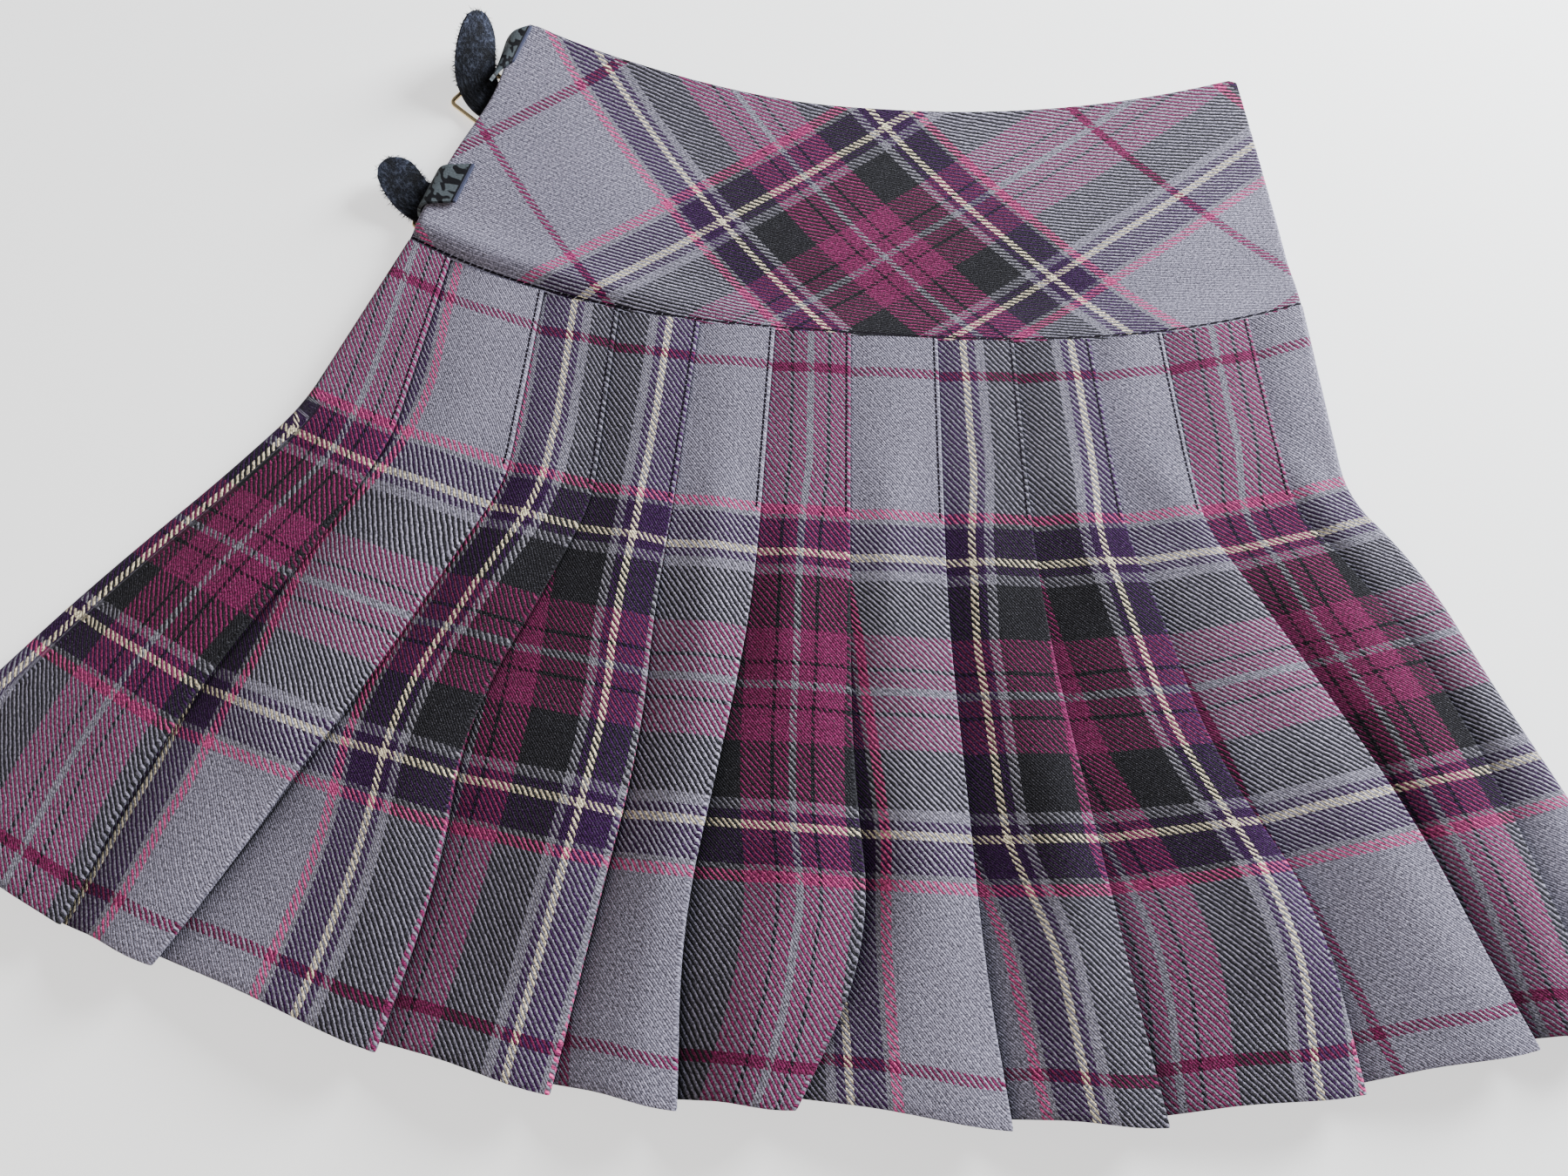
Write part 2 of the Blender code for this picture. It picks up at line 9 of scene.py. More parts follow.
import bpy
import numpy as np
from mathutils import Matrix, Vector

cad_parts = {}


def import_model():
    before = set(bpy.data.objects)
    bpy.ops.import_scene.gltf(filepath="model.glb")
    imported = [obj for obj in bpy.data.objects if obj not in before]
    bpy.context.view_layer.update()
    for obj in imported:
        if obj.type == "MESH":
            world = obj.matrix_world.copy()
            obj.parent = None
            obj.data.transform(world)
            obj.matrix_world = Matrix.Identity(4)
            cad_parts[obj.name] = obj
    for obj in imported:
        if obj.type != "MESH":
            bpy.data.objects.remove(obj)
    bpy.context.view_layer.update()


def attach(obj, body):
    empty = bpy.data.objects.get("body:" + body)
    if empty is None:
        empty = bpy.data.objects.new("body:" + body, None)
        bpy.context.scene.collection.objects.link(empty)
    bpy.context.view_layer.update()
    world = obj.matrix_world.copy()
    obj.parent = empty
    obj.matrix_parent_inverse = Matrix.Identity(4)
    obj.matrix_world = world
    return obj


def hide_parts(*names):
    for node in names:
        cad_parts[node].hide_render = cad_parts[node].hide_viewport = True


MM = 0.001
MIDDLE_X = -28.44  # the part's origin in the pattern frame
MIDDLE_Y = 24.22

# Cloth
WALL = 0.8
HEM_WALL = 1.0  # the turned-up hem is double
HEM_DEPTH = 28.0
HEM_END = 0.5  # thickness at the very edge
PLY = 1.3  # from one layer of a pleat to the next
SEAM_GAP = 0.3
FAR = 1000.0  # the distance from an edge where there is none

# Yoke
WAIST_LEFT = (-181.0, 270.0)
WAIST_RIGHT = (180.0, 263.0)
HIP_LEFT = (-218.0, 141.0)
HIP_RIGHT = (204.5, 135.0)
WAIST_BOW = 34.0
WAIST_BOW_POWER = 2.2
HIP_BOW = 33.0
HIP_BOW_POWER = 2.8
BOW_SKEW = 0.08
CORNER_LEFT = 9.0
CORNER_RIGHT = 6.0
CORNER_FADE = 6
DENT = 5.0  # how far the left edge is pressed in, where, over what share, and how far across
DENT_AT = 0.36
DENT_SPREAD = 0.22
DENT_ACROSS = 0.2
YOKE_DEPTH = 128.0
YOKE_LIFT = 4.4  # of the back yoke over the straps
LIFTED_TO = (0.45, 0.3)  # share of the width that the straps lift, and over what it fades
LIFTED_FADE = 0.07
YOKE_HIP_BACK = 2.9  # heights at the hip seam, and the air between the yokes above it
YOKE_HIP_FRONT = 8.1
YOKE_AIR = 3.0
YOKE_AIR_REACH = 0.75
YOKE_HIP_FROM = 0.8
YOKE_HIP_OVER = 0.2
YOKE_BACK_SHIFT = 20.0
YOKE_ROWS = 32
YOKE_COLUMNS = 90

# Pleated skirt
STRIP = 332.0
STITCHED = 88.0
HIP_LEVEL = 10.2  # height of the front's flat cloth at the stitched part and at the hem
HEM_LEVEL = 8.2
LEVEL_REACH = 110.0
LOWEST = 0.5  # middle of the lowest cloth layer
SIDE_ROUND = 5.0  # how the cloth turns down at the sides
SIDE_END = 0.4
SIDE_INSET = 0.5
SIDE_STRETCH = 0.6
MOST_OVERLAP = 0.85  # share of a panel that the next one may reach under
LEAST_OVERLAP = 4.5
ROLL_STEP = 3.0  # the front's left edge rolls forward from ROLL_TOP down
ROLL_WIDTH = 11.0
ROLL_SOFT = 1.0
ROLL_TOP = 96.0
ROLL_EASE = 25.0
ROLL_FADE = 20.0
ROLL_CLOTH = (8.0, 16.0)  # the rolled edge's cloth starts this far above, over this distance
LIFT_GAIN = 1.25  # the folds' lifts against the CAD's
FOOT_SHARE = 0.25  # share of a fold's lift that the cloth under it follows
PANEL_SPARE = 7.0
NOSE = 2.0  # half-width of a fold's turn
NEAREST = 2.6  # a panel's last point before its fold
PANEL_SPAN = 0.88
SEAM_FADE = 60.0  # how far down the hip seam's curve still shapes the folds
PAINTED_SHADE_REACH = 7.0  # painted shade under a fold: its reach, least share, strength and the lift where it is full
PAINTED_SHADE_LEAST = 0.15
PAINTED_SHADE_STRENGTH = 0.72
PAINTED_SHADE_FULL_LIFT = 10.0
CURL = 0.35  # share of a pleat's lift that its edge falls again, and over how many millimetres
CURL_REACH = 9.0
HEM_JAG = 3.5  # how far the hem dips at each fold, how fast it ends, and where it starts
JAG_SHARPNESS = 1.4
JAG_FROM = 240.0
JAG_OVER = 92.0
HEM_FALL = 0.3  # share of the lift that is gone at the hem, and where that starts
FALL_FROM = 210.0
FALL_OVER = 122.0
LEAN_AT = (80.0, 108.0, 165.0, 235.0, 300.0)  # where the leans, in degrees, and lifts hold
LIFT_AT = (90.0, 170.0, 250.0, 332.0)
# Each line: x at the hip seam, leans, lifts, and its place along the cloth from a stripe's middle
LINES = (
    (-218.0, (-21.5, -38.0, -42.0, -38.0, -36.0), (0, 1, 1, 1), -311.0),
    (-196.0, (-8.0, -24.0, -31.0, -25.0, -17.0), (0, 4, 6, 6), -243.8),
    (-150.0, (-3.0, -26.0, -26.0, -28.0, -31.0), (0, 4, 7, 9), -148.0),
    (-114.0, (-1.0, -20.0, -24.0, -2.0, -13.0), (0, 4, 6, 8), -31.3),
    (-76.0, (-2.5, -4.0, 0.0, -9.0, -9.0), (0, 4, 8, 9), 65.5),
    (-41.0, (0.0, -1.0, -7.0, -8.0, 4.0), (0, 5, 9, 11), 170.0),
    (-6.0, (3.0, 3.0, 4.0, 10.0, -24.0), (0, 5, 10, 14), 279.4),
    (34.0, (3.9, 4.0, 8.0, 7.0, 12.0), (0, 4, 8, 10), 375.0),
    (69.0, (6.1, 9.0, 13.0, 14.0, 15.0), (0, 4, 8, 12), 494.0),
    (104.0, (9.6, 22.0, 18.0, 36.0, 12.0), (0, 4, 7, 8), 584.0),
    (137.0, (10.0, 36.0, 34.0, 29.0, 28.0), (0, 4, 8, 9), 693.0),
    (177.0, (10.0, 44.0, 33.0, 22.0, 22.0), (0, 4, 6, 7), 802.6),
    (204.5, (9.0, 45.0, 27.0, 31.0, 28.0), (0, 1, 2, 3), 898.0),
)
# How far the cloth at each line's fold drifts off the grain, at these distances below the seam
DRIFT_AT = (60.0, 108.0, 150.0, 226.0, 270.0, 332.0)
DRIFTS = (
    (0, 0, 0, 0, 0, 0),
    (0, 2, 7, 11, 11, 10),
    (0, 8, 13, 0, -9, -20),
    (0, 3, 7, 11, 11, 13),
    (0, 1, 2, 3, 3, 4),
    (0, 2, 4, 5, 5, 5),
    (0, 4, 5, 9, 8, -2),
    (0, 0, -5, -9, -5, 0),
    (0, 5, 9, 13, 5, 5),
    (0, 4, 5, 2, 4, 10),
    (0, 2, 10, 18, 15, 17),
    (0, 6, 13, 12, 8, 9),
    (0, 0, 0, 0, 0, 0),
)
FRONT_DROP = (0.35, 1.8)  # share of a panel that stays level, and the power of its fall
BACK_DROP = (0.55, 2.0)
BACK_FOLDS = 12
BACK_PITCH = 98.0
ROW_STEP = 5.0
TURN_STEPS = 8
TUCK_STEPS = 4
SIDE_STEPS = 6
PANEL_STEPS = 9
UNDER_SHARES = (0.75, 0.5, 0.25)  # where the cloth under a fold has points
NEXT_SHARES = (0.7, 0.45, 0.2)
FIRST_SHARES = (0.85, 0.7, 0.55, 0.4, 0.25)
ROLL_POINTS = (-3.0, -1.0, 0.0, 1.0)

# Tartan: repeat across (warp) and down (weft), and where the purple band lies below the hip seam
WARP_REPEAT = 261.6
WEFT_REPEAT = 297.2
PURPLE_DOWN = 167.0
RIB = 3.0  # from one twill rib to the next, measured down the cloth
RIB_SLOPE = WEFT_REPEAT / WARP_REPEAT  # the warp threads lie closer together
# Cloth coordinates on the yoke, which is cut on the bias, from x, y, 1, xx, xy and yy
BIAS_UNIT = 100.0
YOKE_WARP = (71.6, 99.9, -138.8, -4.8, 2.9, -7.2)
YOKE_WEFT = (75.3, -107.5, 136.2, 3.6, -7.0, 8.1)
# Bands of the sett from the middle of the purple to the maroon line: (from, mm of cloth length)
SETT = (
    (0.0, "light"), (1.7, "purple"), (8.4, "black"), (10.0, "purple"), (24.0, "charcoal"),
    (48.5, "light"), (53.3, "aubergine"), (56.9, "cream"), (60.8, "aubergine"), (74.8, "light"),
    (77.0, "pink"), (81.7, "heather"), (146.0, "maroon"),
)
THREADS = {
    "light": (116, 113, 123),
    "purple": (105, 26, 70),
    "black": (9, 5, 13),
    "charcoal": (24, 23, 27),
    "aubergine": (42, 12, 54),
    "cream": (222, 208, 176),
    "pink": (186, 70, 124),
    "heather": (131, 127, 144),
    "maroon": (110, 26, 72),
}

# Twill: noise scales are per metre
WEFT_GAIN = 0.8  # brightness of the two thread systems
WARP_GAIN = 1.12
WANDER = 1.6  # how far the stripes wander off the grain
RIB_STRAY = 0.55  # how far a rib strays, how crisp its edge is, and how much fibres break it
RIB_EDGE = 2.6
FIBRE = 1.8
WANDER_SCALE = 30.0
STRAY_SCALE = 260.0
FIBRE_SCALE = 1900.0
SPECK_SCALE = 900.0
PALE_SCALE = 1700.0
PATCH_SCALE = 16.0
PALE_FIBRE = (168, 166, 176)
PAINTED_SHADOW_LINE = 3.0  # painted shadow line: the cloth beside a fold's edge is painted dark at less than half of this
STITCH_AT = 1.6  # stitched line: distance from the edge, half-width, and its dashes
STITCH_HALF = 0.5
STITCH_TURN = 2.4
STITCH_GAP = -0.9
STITCHING = (16, 9, 20)

# Straps and buckles
LEATHER = 1.6
BRASS_WIRE = 2.2
# Stations: out from the yoke's left edge, down along it and height, of one edge and the other
TABS = {
    "upper": (
        (-8.0, 3.5, 9.6, -8.0, 25.5, 9.9),
        (-4.0, 6.0, 9.6, -6.6, 28.0, 10.2),
        (-0.4, 9.5, 8.8, -5.2, 31.0, 10.6),
        (1.8, 14.0, 6.2, -4.0, 34.5, 11.2),
        (1.4, 20.0, 3.8, -3.3, 38.0, 11.8),
        (0.2, 25.5, 2.4, -2.9, 41.5, 12.0),
    ),
    "lower": (
        (-15.0, 88.0, 11.8, -15.0, 110.0, 12.1),
        (-8.0, 90.8, 11.8, -8.0, 112.8, 12.1),
        (-3.4, 92.6, 11.7, -3.4, 114.6, 12.1),
        (-0.5, 94.2, 10.8, -0.5, 116.2, 11.3),
        (1.1, 95.8, 9.0, 1.2, 117.8, 9.2),
        (1.4, 97.4, 6.8, 1.4, 119.2, 6.9),
        (1.4, 98.4, 5.0, 1.4, 120.0, 5.0),
    ),
}
STRAP_WIDTH = 20.0
# Stations: out, along, height and roll in degrees
STRAPS = {
    "upper": (
        (-60.0, 36.0, 0.88, 0.0),
        (-36.0, 36.0, 0.88, 0.0),
        (-16.0, 36.0, 0.88, 0.0),
        (-9.0, 36.4, 0.92, 0.0),
        (-4.0, 36.2, 1.5, 2.0),
        (-1.0, 34.4, 2.9, 14.0),
        (1.0, 31.2, 4.4, 24.0),
        (3.0, 27.0, 5.2, 34.0),
        (5.4, 22.0, 5.3, 45.0),
        (7.6, 17.0, 5.2, 56.0),
        (9.4, 12.0, 5.2, 64.0),
        (10.6, 7.4, 5.4, 68.0),
    ),
    "lower": (
        (-60.0, 102.0, 0.88, 0.0),
        (-36.0, 102.0, 0.88, 0.0),
        (-16.0, 102.0, 0.88, 0.0),
        (-6.2, 102.0, 0.95, 0.0),
        (-1.8, 102.0, 2.1, 0.0),
        (2.6, 101.8, 3.6, 0.0),
        (6.2, 100.8, 4.2, 3.0),
        (10.2, 98.4, 4.7, 9.0),
        (14.5, 95.0, 5.4, 13.0),
        (19.5, 90.0, 6.6, 15.0),
    ),
}
TIP_ANGLES = (0.0, 20.0, 40.0, 55.0, 68.0, 78.0, 86.0)
FRAMES = {
    "upper": ((-13.5, 36.6, 3.08), (-9.0, 63.2, 3.08), (16.2, 53.2, 1.5), (6.8, 28.2, 1.5)),
    "lower": ((-8.0, 100.3, 3.08), (-8.0, 123.7, 3.08), (4.6, 123.7, 1.25), (4.6, 100.3, 1.25)),
}
FRAME_CORNER = 3.0
HAIR_WIDTH = 0.4
HAIR_LENGTH = (1.0, 3.0)
HAIRS_PER_POINT = 5
HAIR_SPREAD = 0.45
ROOT_SPREAD = 0.35
ROOT_INWARD = 0.03  # most of the way to the middle that a fibre may start inside
LOWEST_TIP = 0.3
HAIR_SEED = 7
TAB_STEP = 5.0  # leather coordinates of a tab: along, by mesh step, and across
TAB_WIDTH = 22.0
PATH_STEPS = 5  # mesh steps between two stations, and across
WALL_STEPS = 8
SHARP = math.radians(50)  # edges sharper than this aren't shaded smooth

# Floor, lights and camera, in metres in the part's frame
FLOOR_HALF = 4.0
FLOOR_Z = -0.0002
FLOOR_COLOUR = (0.95, 0.945, 0.92, 1.0)
FLOOR_GLOW = (0.97, 0.98, 1.0, 1.0)
LIGHTS = (
    ("daylight", (1.0, 1.0, 0.46), 0.7, 98.0, (0.92, 0.96, 1.0)),
    ("room", (-0.9, -1.2, 1.1), 1.2, 10.0, (1.0, 0.82, 0.64)),
)
WORLD_COLOUR = (0.95, 0.97, 1.0, 1.0)
WORLD_STRENGTH = 0.24
LENS = 27.06
SENSOR = 36.0
CAMERA_X = -18.0  # this and the next in millimetres in the pattern frame
CAMERA_Y = -159.1
CAMERA_HEIGHT = 0.5
CAMERA_TILT = 16.0
CAMERA_TURN = 4.0


def smooth(x):
    """0 to 1 with level ends."""
    x = min(max(x, 0.0), 1.0)
    return x * x * (3.0 - 2.0 * x)


def bow(share, power):
    """Depth of a bowed edge at a share of its width, 1 at the deepest."""
    return (1.0 - abs(2.0 * share - 1.0) ** power) * (1.0 + BOW_SKEW * (1.0 - 2.0 * share))


def edge_point(left, right, depth, power, share):
    x = left[0] + (right[0] - left[0]) * share
    y = left[1] + (right[1] - left[1]) * share - depth * bow(share, power)
    return np.array((x, y))


def waist_point(share):
    return edge_point(WAIST_LEFT, WAIST_RIGHT, WAIST_BOW, WAIST_BOW_POWER, share)


def hip_point(share):
    return edge_point(HIP_LEFT, HIP_RIGHT, HIP_BOW, HIP_BOW_POWER, share)


def hip_y(x):
    return hip_point((x - HIP_LEFT[0]) / (HIP_RIGHT[0] - HIP_LEFT[0]))[1]


def line_paths(rows):
    """Plan points of each line at each distance below the seam: array [line, row, xy]."""
    fine = np.arange(0.0, STRIP + 0.5, 1.0)
    paths = []
    for hip_x, leans, _, _ in LINES:
        angles = np.radians(np.interp(fine, LEAN_AT, leans))
        x = hip_x + np.concatenate(([0.0], np.cumsum(np.sin(angles[:-1]))))
        start = hip_y(hip_x) - SEAM_GAP
        y = start - np.concatenate(([0.0], np.cumsum(np.cos(angles[:-1]))))
        paths.append(np.stack((np.interp(rows, fine, x), np.interp(rows, fine, y)), axis=1))
    return np.array(paths)


def eased(places, values, at):
    """A value between those of a table, half straight and half eased."""
    at = float(np.interp(at, places, range(len(places))))
    low = min(int(at), len(places) - 2)
    share = 0.5 * (at - low) + 0.5 * smooth(at - low)
    return values[low] + (values[low + 1] - values[low]) * share


def line_lifts(rows):
    """Lift of each fold at each distance below the seam."""
    return np.array([[eased(LIFT_AT, lifts, down) for down in rows] for _, _, lifts, _ in LINES])


def front_level(down):
    return HEM_LEVEL + (HIP_LEVEL - HEM_LEVEL) * (1.0 - smooth((down - STITCHED) / LEVEL_REACH))


def drop(share, shape):
    """How far a panel has come down towards its left fold: 0 to 1."""
    level_share, power = shape
    return max(0.0, (share - level_share) / (1.0 - level_share)) ** power


def side_height(down):
    """Where front and back meet at the sides."""
    return 0.5 * (front_level(down) + LOWEST)


def side_turn_points(crown, meet):
    """How a wall bends from level into the side: (inward, height) pairs, level first."""
    end = meet + math.copysign(SIDE_END, crown - meet)
    round_in = min(abs(crown - end), SIDE_ROUND - SIDE_INSET)
    points = []
    for step in range(SIDE_STEPS + 1):
        turn = math.pi / 2 * step / SIDE_STEPS
        inward = SIDE_INSET + round_in * (1.0 - math.sin(turn))
        points.append((inward, end + (crown - end) * math.cos(turn)))
    return points + [(SIDE_INSET, meet)]


class Row:
    """One row of a pleated half, seen with its outside up. Points run from left to right.

    Each point is x, y, z, the cloth coordinate across, the distance from the stitched fold, the
    painted shade of the hollow under the fold to its left, strongest where the point lies deepest
    in it, and the distance from that fold's edge, which places a painted shadow line.
    """

    def __init__(self, lines, lifts, cloth, level, side, drops, down, hip_lines, seam):
        self.lines, self.lifts, self.cloth = lines, lifts, cloth
        self.level, self.side, self.drops = level, side, drops
        self.down, self.hip_lines, self.seam = down, hip_lines, seam
        self.points = []

    def width(self, panel):
        return float(np.linalg.norm(self.lines[panel + 1] - self.lines[panel]))

    def plan(self, panel, back):
        right, left = self.lines[panel + 1], self.lines[panel]
        share = back / self.width(panel)
        point = right + (left - right) * share
        hip_right, hip_left = self.hip_lines[panel + 1], self.hip_lines[panel]
        hip = hip_right + (hip_left - hip_right) * min(max(share, 0.0), 1.0)
        fade = max(0.0, 1.0 - self.down / SEAM_FADE) ** 2
        seam = (self.seam(hip[0]) - SEAM_GAP - hip[1]) * fade
        dip = 0.0
        if self.side > 0 and 0 < panel < len(self.lines) - 2:
            low = smooth((self.down - JAG_FROM) / JAG_OVER)
            dip = HEM_JAG * (1.0 - smooth(share * JAG_SHARPNESS)) * low
        return point + np.array((0.0, seam - dip))

    def painted_shade(self, panel, back):
        """Painted shade of the hollow under the fold at the panel's left: 1 in its depth, fading
        over the shade's reach.
        """
        if panel == 0:
            return 0.0
        inward = max(self.width(panel) - back, 0.0)
        depth = PAINTED_SHADE_LEAST + (1.0 - PAINTED_SHADE_LEAST) * min(self.lifts[panel] / PAINTED_SHADE_FULL_LIFT, 1.0)
        return depth * math.exp(-inward / PAINTED_SHADE_REACH)

    def add(self, panel, back, height, cloth=None, edge=FAR, painted_shade=None):
        x, y = self.plan(panel, back)
        if cloth is None:
            cloth = self.cloth[panel + 1] - back
        if self.side > 0:
            height += ripple(x, y, self.down)
        # Painted shade from the hollow under the left fold, and the distance from that fold's
        # edge for a painted shadow line.
        beside = FAR
        if painted_shade is None:
            painted_shade = self.painted_shade(panel, back)
            beside = FAR if panel == 0 else max(self.width(panel) - back, 0.0)
        self.points.append((x, y, height, cloth, edge, painted_shade, beside))

    def foot(self, line):
        return self.level - 2 * PLY + FOOT_SHARE * self.lifts[line]

    def top(self, panel, back):
        """Height of a panel's upper cloth, back from the fold at its right."""
        share = min(max(back / self.width(panel), 0.0), 1.0)
        wave = math.cos(0.5 * math.pi * share)
        curl = CURL * math.exp(-((max(back, 0.0) / CURL_REACH) ** 2))
        fall = HEM_FALL * smooth((self.down - FALL_FROM) / FALL_OVER)
        height = self.level + self.lifts[panel + 1] * (1.0 - curl) * (1.0 - fall) * wave
        if panel == 0:
            return height - self.roll(self.width(0) - back)
        fall = 2 * PLY * drop(share, self.drops)
        return height + FOOT_SHARE * self.lifts[panel] * (1.0 - wave) - fall

    def roll(self, inward):
        """How far the front's left side lies lower beside its rolled edge."""
        depth = ROLL_STEP * smooth((self.down - ROLL_TOP) / ROLL_EASE)
        if self.side < 0 or inward < ROLL_WIDTH - ROLL_SOFT:
            return 0.0
        rise = smooth((inward - ROLL_WIDTH + ROLL_SOFT) / (2 * ROLL_SOFT))
        return depth * rise * math.exp(-(inward - ROLL_WIDTH) / ROLL_FADE)

    def overlap(self, line):
        """How far the next panel's cloth reaches under a fold."""
        panel = line - 1
        hidden = 0.5 * (self.cloth[line + 1] - self.cloth[line] - self.width(line))
        most = min(MOST_OVERLAP * self.width(panel), self.width(panel) - PANEL_SPARE)
        return min(max(hidden, LEAST_OVERLAP), most)

    def side_turn(self, panel, at_left):
        width = self.width(panel)
        meet = self.side + SEAM_GAP / 2
        crown = self.top(panel, width - SIDE_ROUND if at_left else SIDE_ROUND)
        turns = side_turn_points(crown, meet)
        for inward, height in turns[::-1] if at_left else turns:
            back = width - inward if at_left else inward
            beyond = abs(height - crown) * SIDE_STRETCH
            self.add(panel, back, height, self.side_cloth(panel, back, beyond, at_left))

    def side_cloth(self, panel, back, beyond, at_left):
        """Cloth coordinate on a side turn; the rolled edge shows cloth from further round."""
        cloth = self.cloth[panel + 1] - back + (-beyond if at_left else beyond)
        inward = self.width(panel) - back
        if at_left and self.side > 0 and inward < ROLL_WIDTH:
            start, over = ROLL_CLOTH
            rolled = self.cloth[0] - (ROLL_WIDTH - inward) - beyond
            cloth += (rolled - cloth) * smooth((self.down - ROLL_TOP + start) / over)
        return cloth

    def fold(self, line):
        """The turn of a fold, the cloth back under it, and the turn into the next panel."""
        panel = line - 1
        reach = self.overlap(line)
        foot = self.foot(line)
        here = self.cloth[line]

        def hidden(back):
            return min(self.top(panel, back) - 2 * PLY, foot)

        def under(back):
            share = 0.5 * (1.0 - back / reach)
            spare = self.top(panel, back) - hidden(back) - 2 * PLY
            return hidden(back) + PLY + share * spare

        deep = self.top(panel, 0.0) - under(0.0)
        nose = min(deep / 2, NOSE)
        middle = 0.5 * (self.top(panel, nose) + under(nose))
        half = 0.5 * (self.top(panel, nose) - under(nose))
        for step in range(TURN_STEPS + 1):
            turn = math.pi * step / TURN_STEPS
            back = nose * (1.0 - math.sin(turn))
            height, cloth = middle + half * math.cos(turn), here - nose * math.cos(turn)
            self.add(panel, back, height, cloth, back)
        # The cloth inside and under the fold gets the full painted shade.
        tuck = PLY / 2
        for share in UNDER_SHARES:
            back = nose * share + reach * (1.0 - share)
            self.add(panel, back, under(back), here + back, painted_shade=1.0)
        middle = hidden(reach - tuck) + PLY / 2
        for step in range(TUCK_STEPS + 1):
            turn = math.pi * step / TUCK_STEPS
            back = reach - tuck + tuck * math.sin(turn)
            self.add(panel, back, middle + tuck * math.cos(turn), here + back, painted_shade=1.0)
        start = self.cloth[line + 1] - self.width(line)
        for share in NEXT_SHARES:
            cloth = start - share * reach
            self.add(panel, share * reach, hidden(share * reach), cloth, painted_shade=1.0)

    def build(self):
        last = len(self.lines) - 2
        self.side_turn(0, True)
        width = self.width(0)
        if self.side > 0:
            for beyond in ROLL_POINTS:
                back = width - (ROLL_WIDTH + beyond)
                self.add(0, back, self.top(0, back), self.side_cloth(0, back, 0.0, True))
            rest = width - ROLL_WIDTH - ROLL_POINTS[-1]
        else:
            rest = width - SIDE_ROUND
        for share in FIRST_SHARES:
            back = share * rest
            self.add(0, back, self.top(0, back), None, back)
        for panel in range(1, last + 1):
            self.fold(panel)
            width = self.width(panel)
            for step in range(PANEL_STEPS):
                back = width * (1.0 - PANEL_SPAN * step / (PANEL_STEPS - 1))
                back = max(back, NEAREST)
                edge = back if panel < last else FAR
                self.add(panel, back, self.top(panel, back), None, edge)
        self.points.pop()
        self.side_turn(last, False)
        return self.points


# Soft ridges in the cloth: from, to, half-width and height
RIPPLE_SPAN = 0.42
RIPPLE_REACH = 2.5
RIPPLE_FROM = 20.0
RIPPLE_OVER = 60.0
RIPPLES = (
    (-170, 60, -250, -80, 14, 2.2), (-200, 40, -300, -60, 9, 1.6),
    (-130, 60, -165, -60, 10, 1.8), (-140, -60, -200, -180, 12, 2.0),
    (-95, 40, -100, -60, 8, 1.6), (-90, -80, -120, -190, 12, 2.2),
    (-58, 50, -62, -60, 9, 1.8), (-50, -60, -60, -200, 14, 2.4),
    (-22, 30, -30, -70, 8, 1.6), (-10, -100, -34, -220, 12, 2.4),
    (16, 50, 18, -60, 9, 1.8), (30, -80, 30, -220, 13, 2.4),
    (52, 40, 70, -90, 9, 1.6), (88, -60, 100, -210, 13, 2.4),
    (92, 50, 118, -30, 8, 1.6), (150, -50, 190, -180, 15, 2.6),
    (128, 60, 175, -20, 10, 1.8), (215, -30, 262, -140, 13, 2.0),
    (180, 70, 232, 0, 9, 1.6), (240, 0, 300, -100, 12, 1.8),
    (-260, -60, -210, -130, 15, 1.6),
)


def ripple(x, y, down):
    """Height of the soft ridges at a plan point."""
    height = 0.0
    for x0, y0, x1, y1, half, tall in RIPPLES:
        run = np.array((x1 - x0, y1 - y0), float)
        share = ((x - x0) * run[0] + (y - y0) * run[1]) / (run @ run)
        off = abs((x - x0) * run[1] - (y - y0) * run[0]) / math.hypot(*run)
        if off < RIPPLE_REACH * half:
            ends = math.exp(-((share - 0.5) / RIPPLE_SPAN) ** 4)
            height += tall * ends * math.exp(-((off / half) ** 2))
    return height * smooth((down - RIPPLE_FROM) / RIPPLE_OVER)


def half_grid(rows, mirrored):
    """Middle surface of the front, or mirrored of the back, with its cloth values per point."""
    lines = line_paths(np.array(rows))
    lifts = line_lifts(np.array(rows)) * LIFT_GAIN
    cloth = [row[3] for row in LINES]
    seam = hip_y
    if mirrored:
        lines = back_lines(lines)
        lifts = np.zeros(lines.shape[:2])
        cloth = [BACK_PITCH * line for line in range(len(lines))]

        def seam(x):
            return hip_y(-x)

    grid = []
    for index, down in enumerate(rows):
        level = -LOWEST if mirrored else front_level(down)
        side = -side_height(down) if mirrored else side_height(down)
        drops = BACK_DROP if mirrored else FRONT_DROP
        shown = list(cloth)
        if not mirrored:
            shown = [at + eased(DRIFT_AT, row, down) for at, row in zip(cloth, DRIFTS)]
        args = (lines[:, index], lifts[:, index], shown, level, side, drops, down)
        grid.append(Row(*args, lines[:, 0], seam).build())
    grid = np.array(grid)
    if mirrored:
        grid = grid * np.array((-1.0, 1.0, -1.0, 1.0, 1.0, 1.0, 1.0))
    return grid


def back_lines(lines):
    """Evenly spaced folds over the same outline, seen from behind."""
    shares = np.linspace(0.0, 1.0, BACK_FOLDS + 2)
    made = []
    for row in range(lines.shape[1]):
        across = lines[:, row]
        steps = np.linalg.norm(np.diff(across, axis=0), axis=1)
        along = np.concatenate(([0.0], np.cumsum(steps))) / steps.sum()
        x = np.interp(shares, along, across[:, 0])
        y = np.interp(shares, along, across[:, 1])
        if row == 0:
            y = np.array([hip_y(value) - SEAM_GAP for value in x])
        made.append(np.stack((-x[::-1], y[::-1]), axis=1))
    return np.array(made).transpose(1, 0, 2)


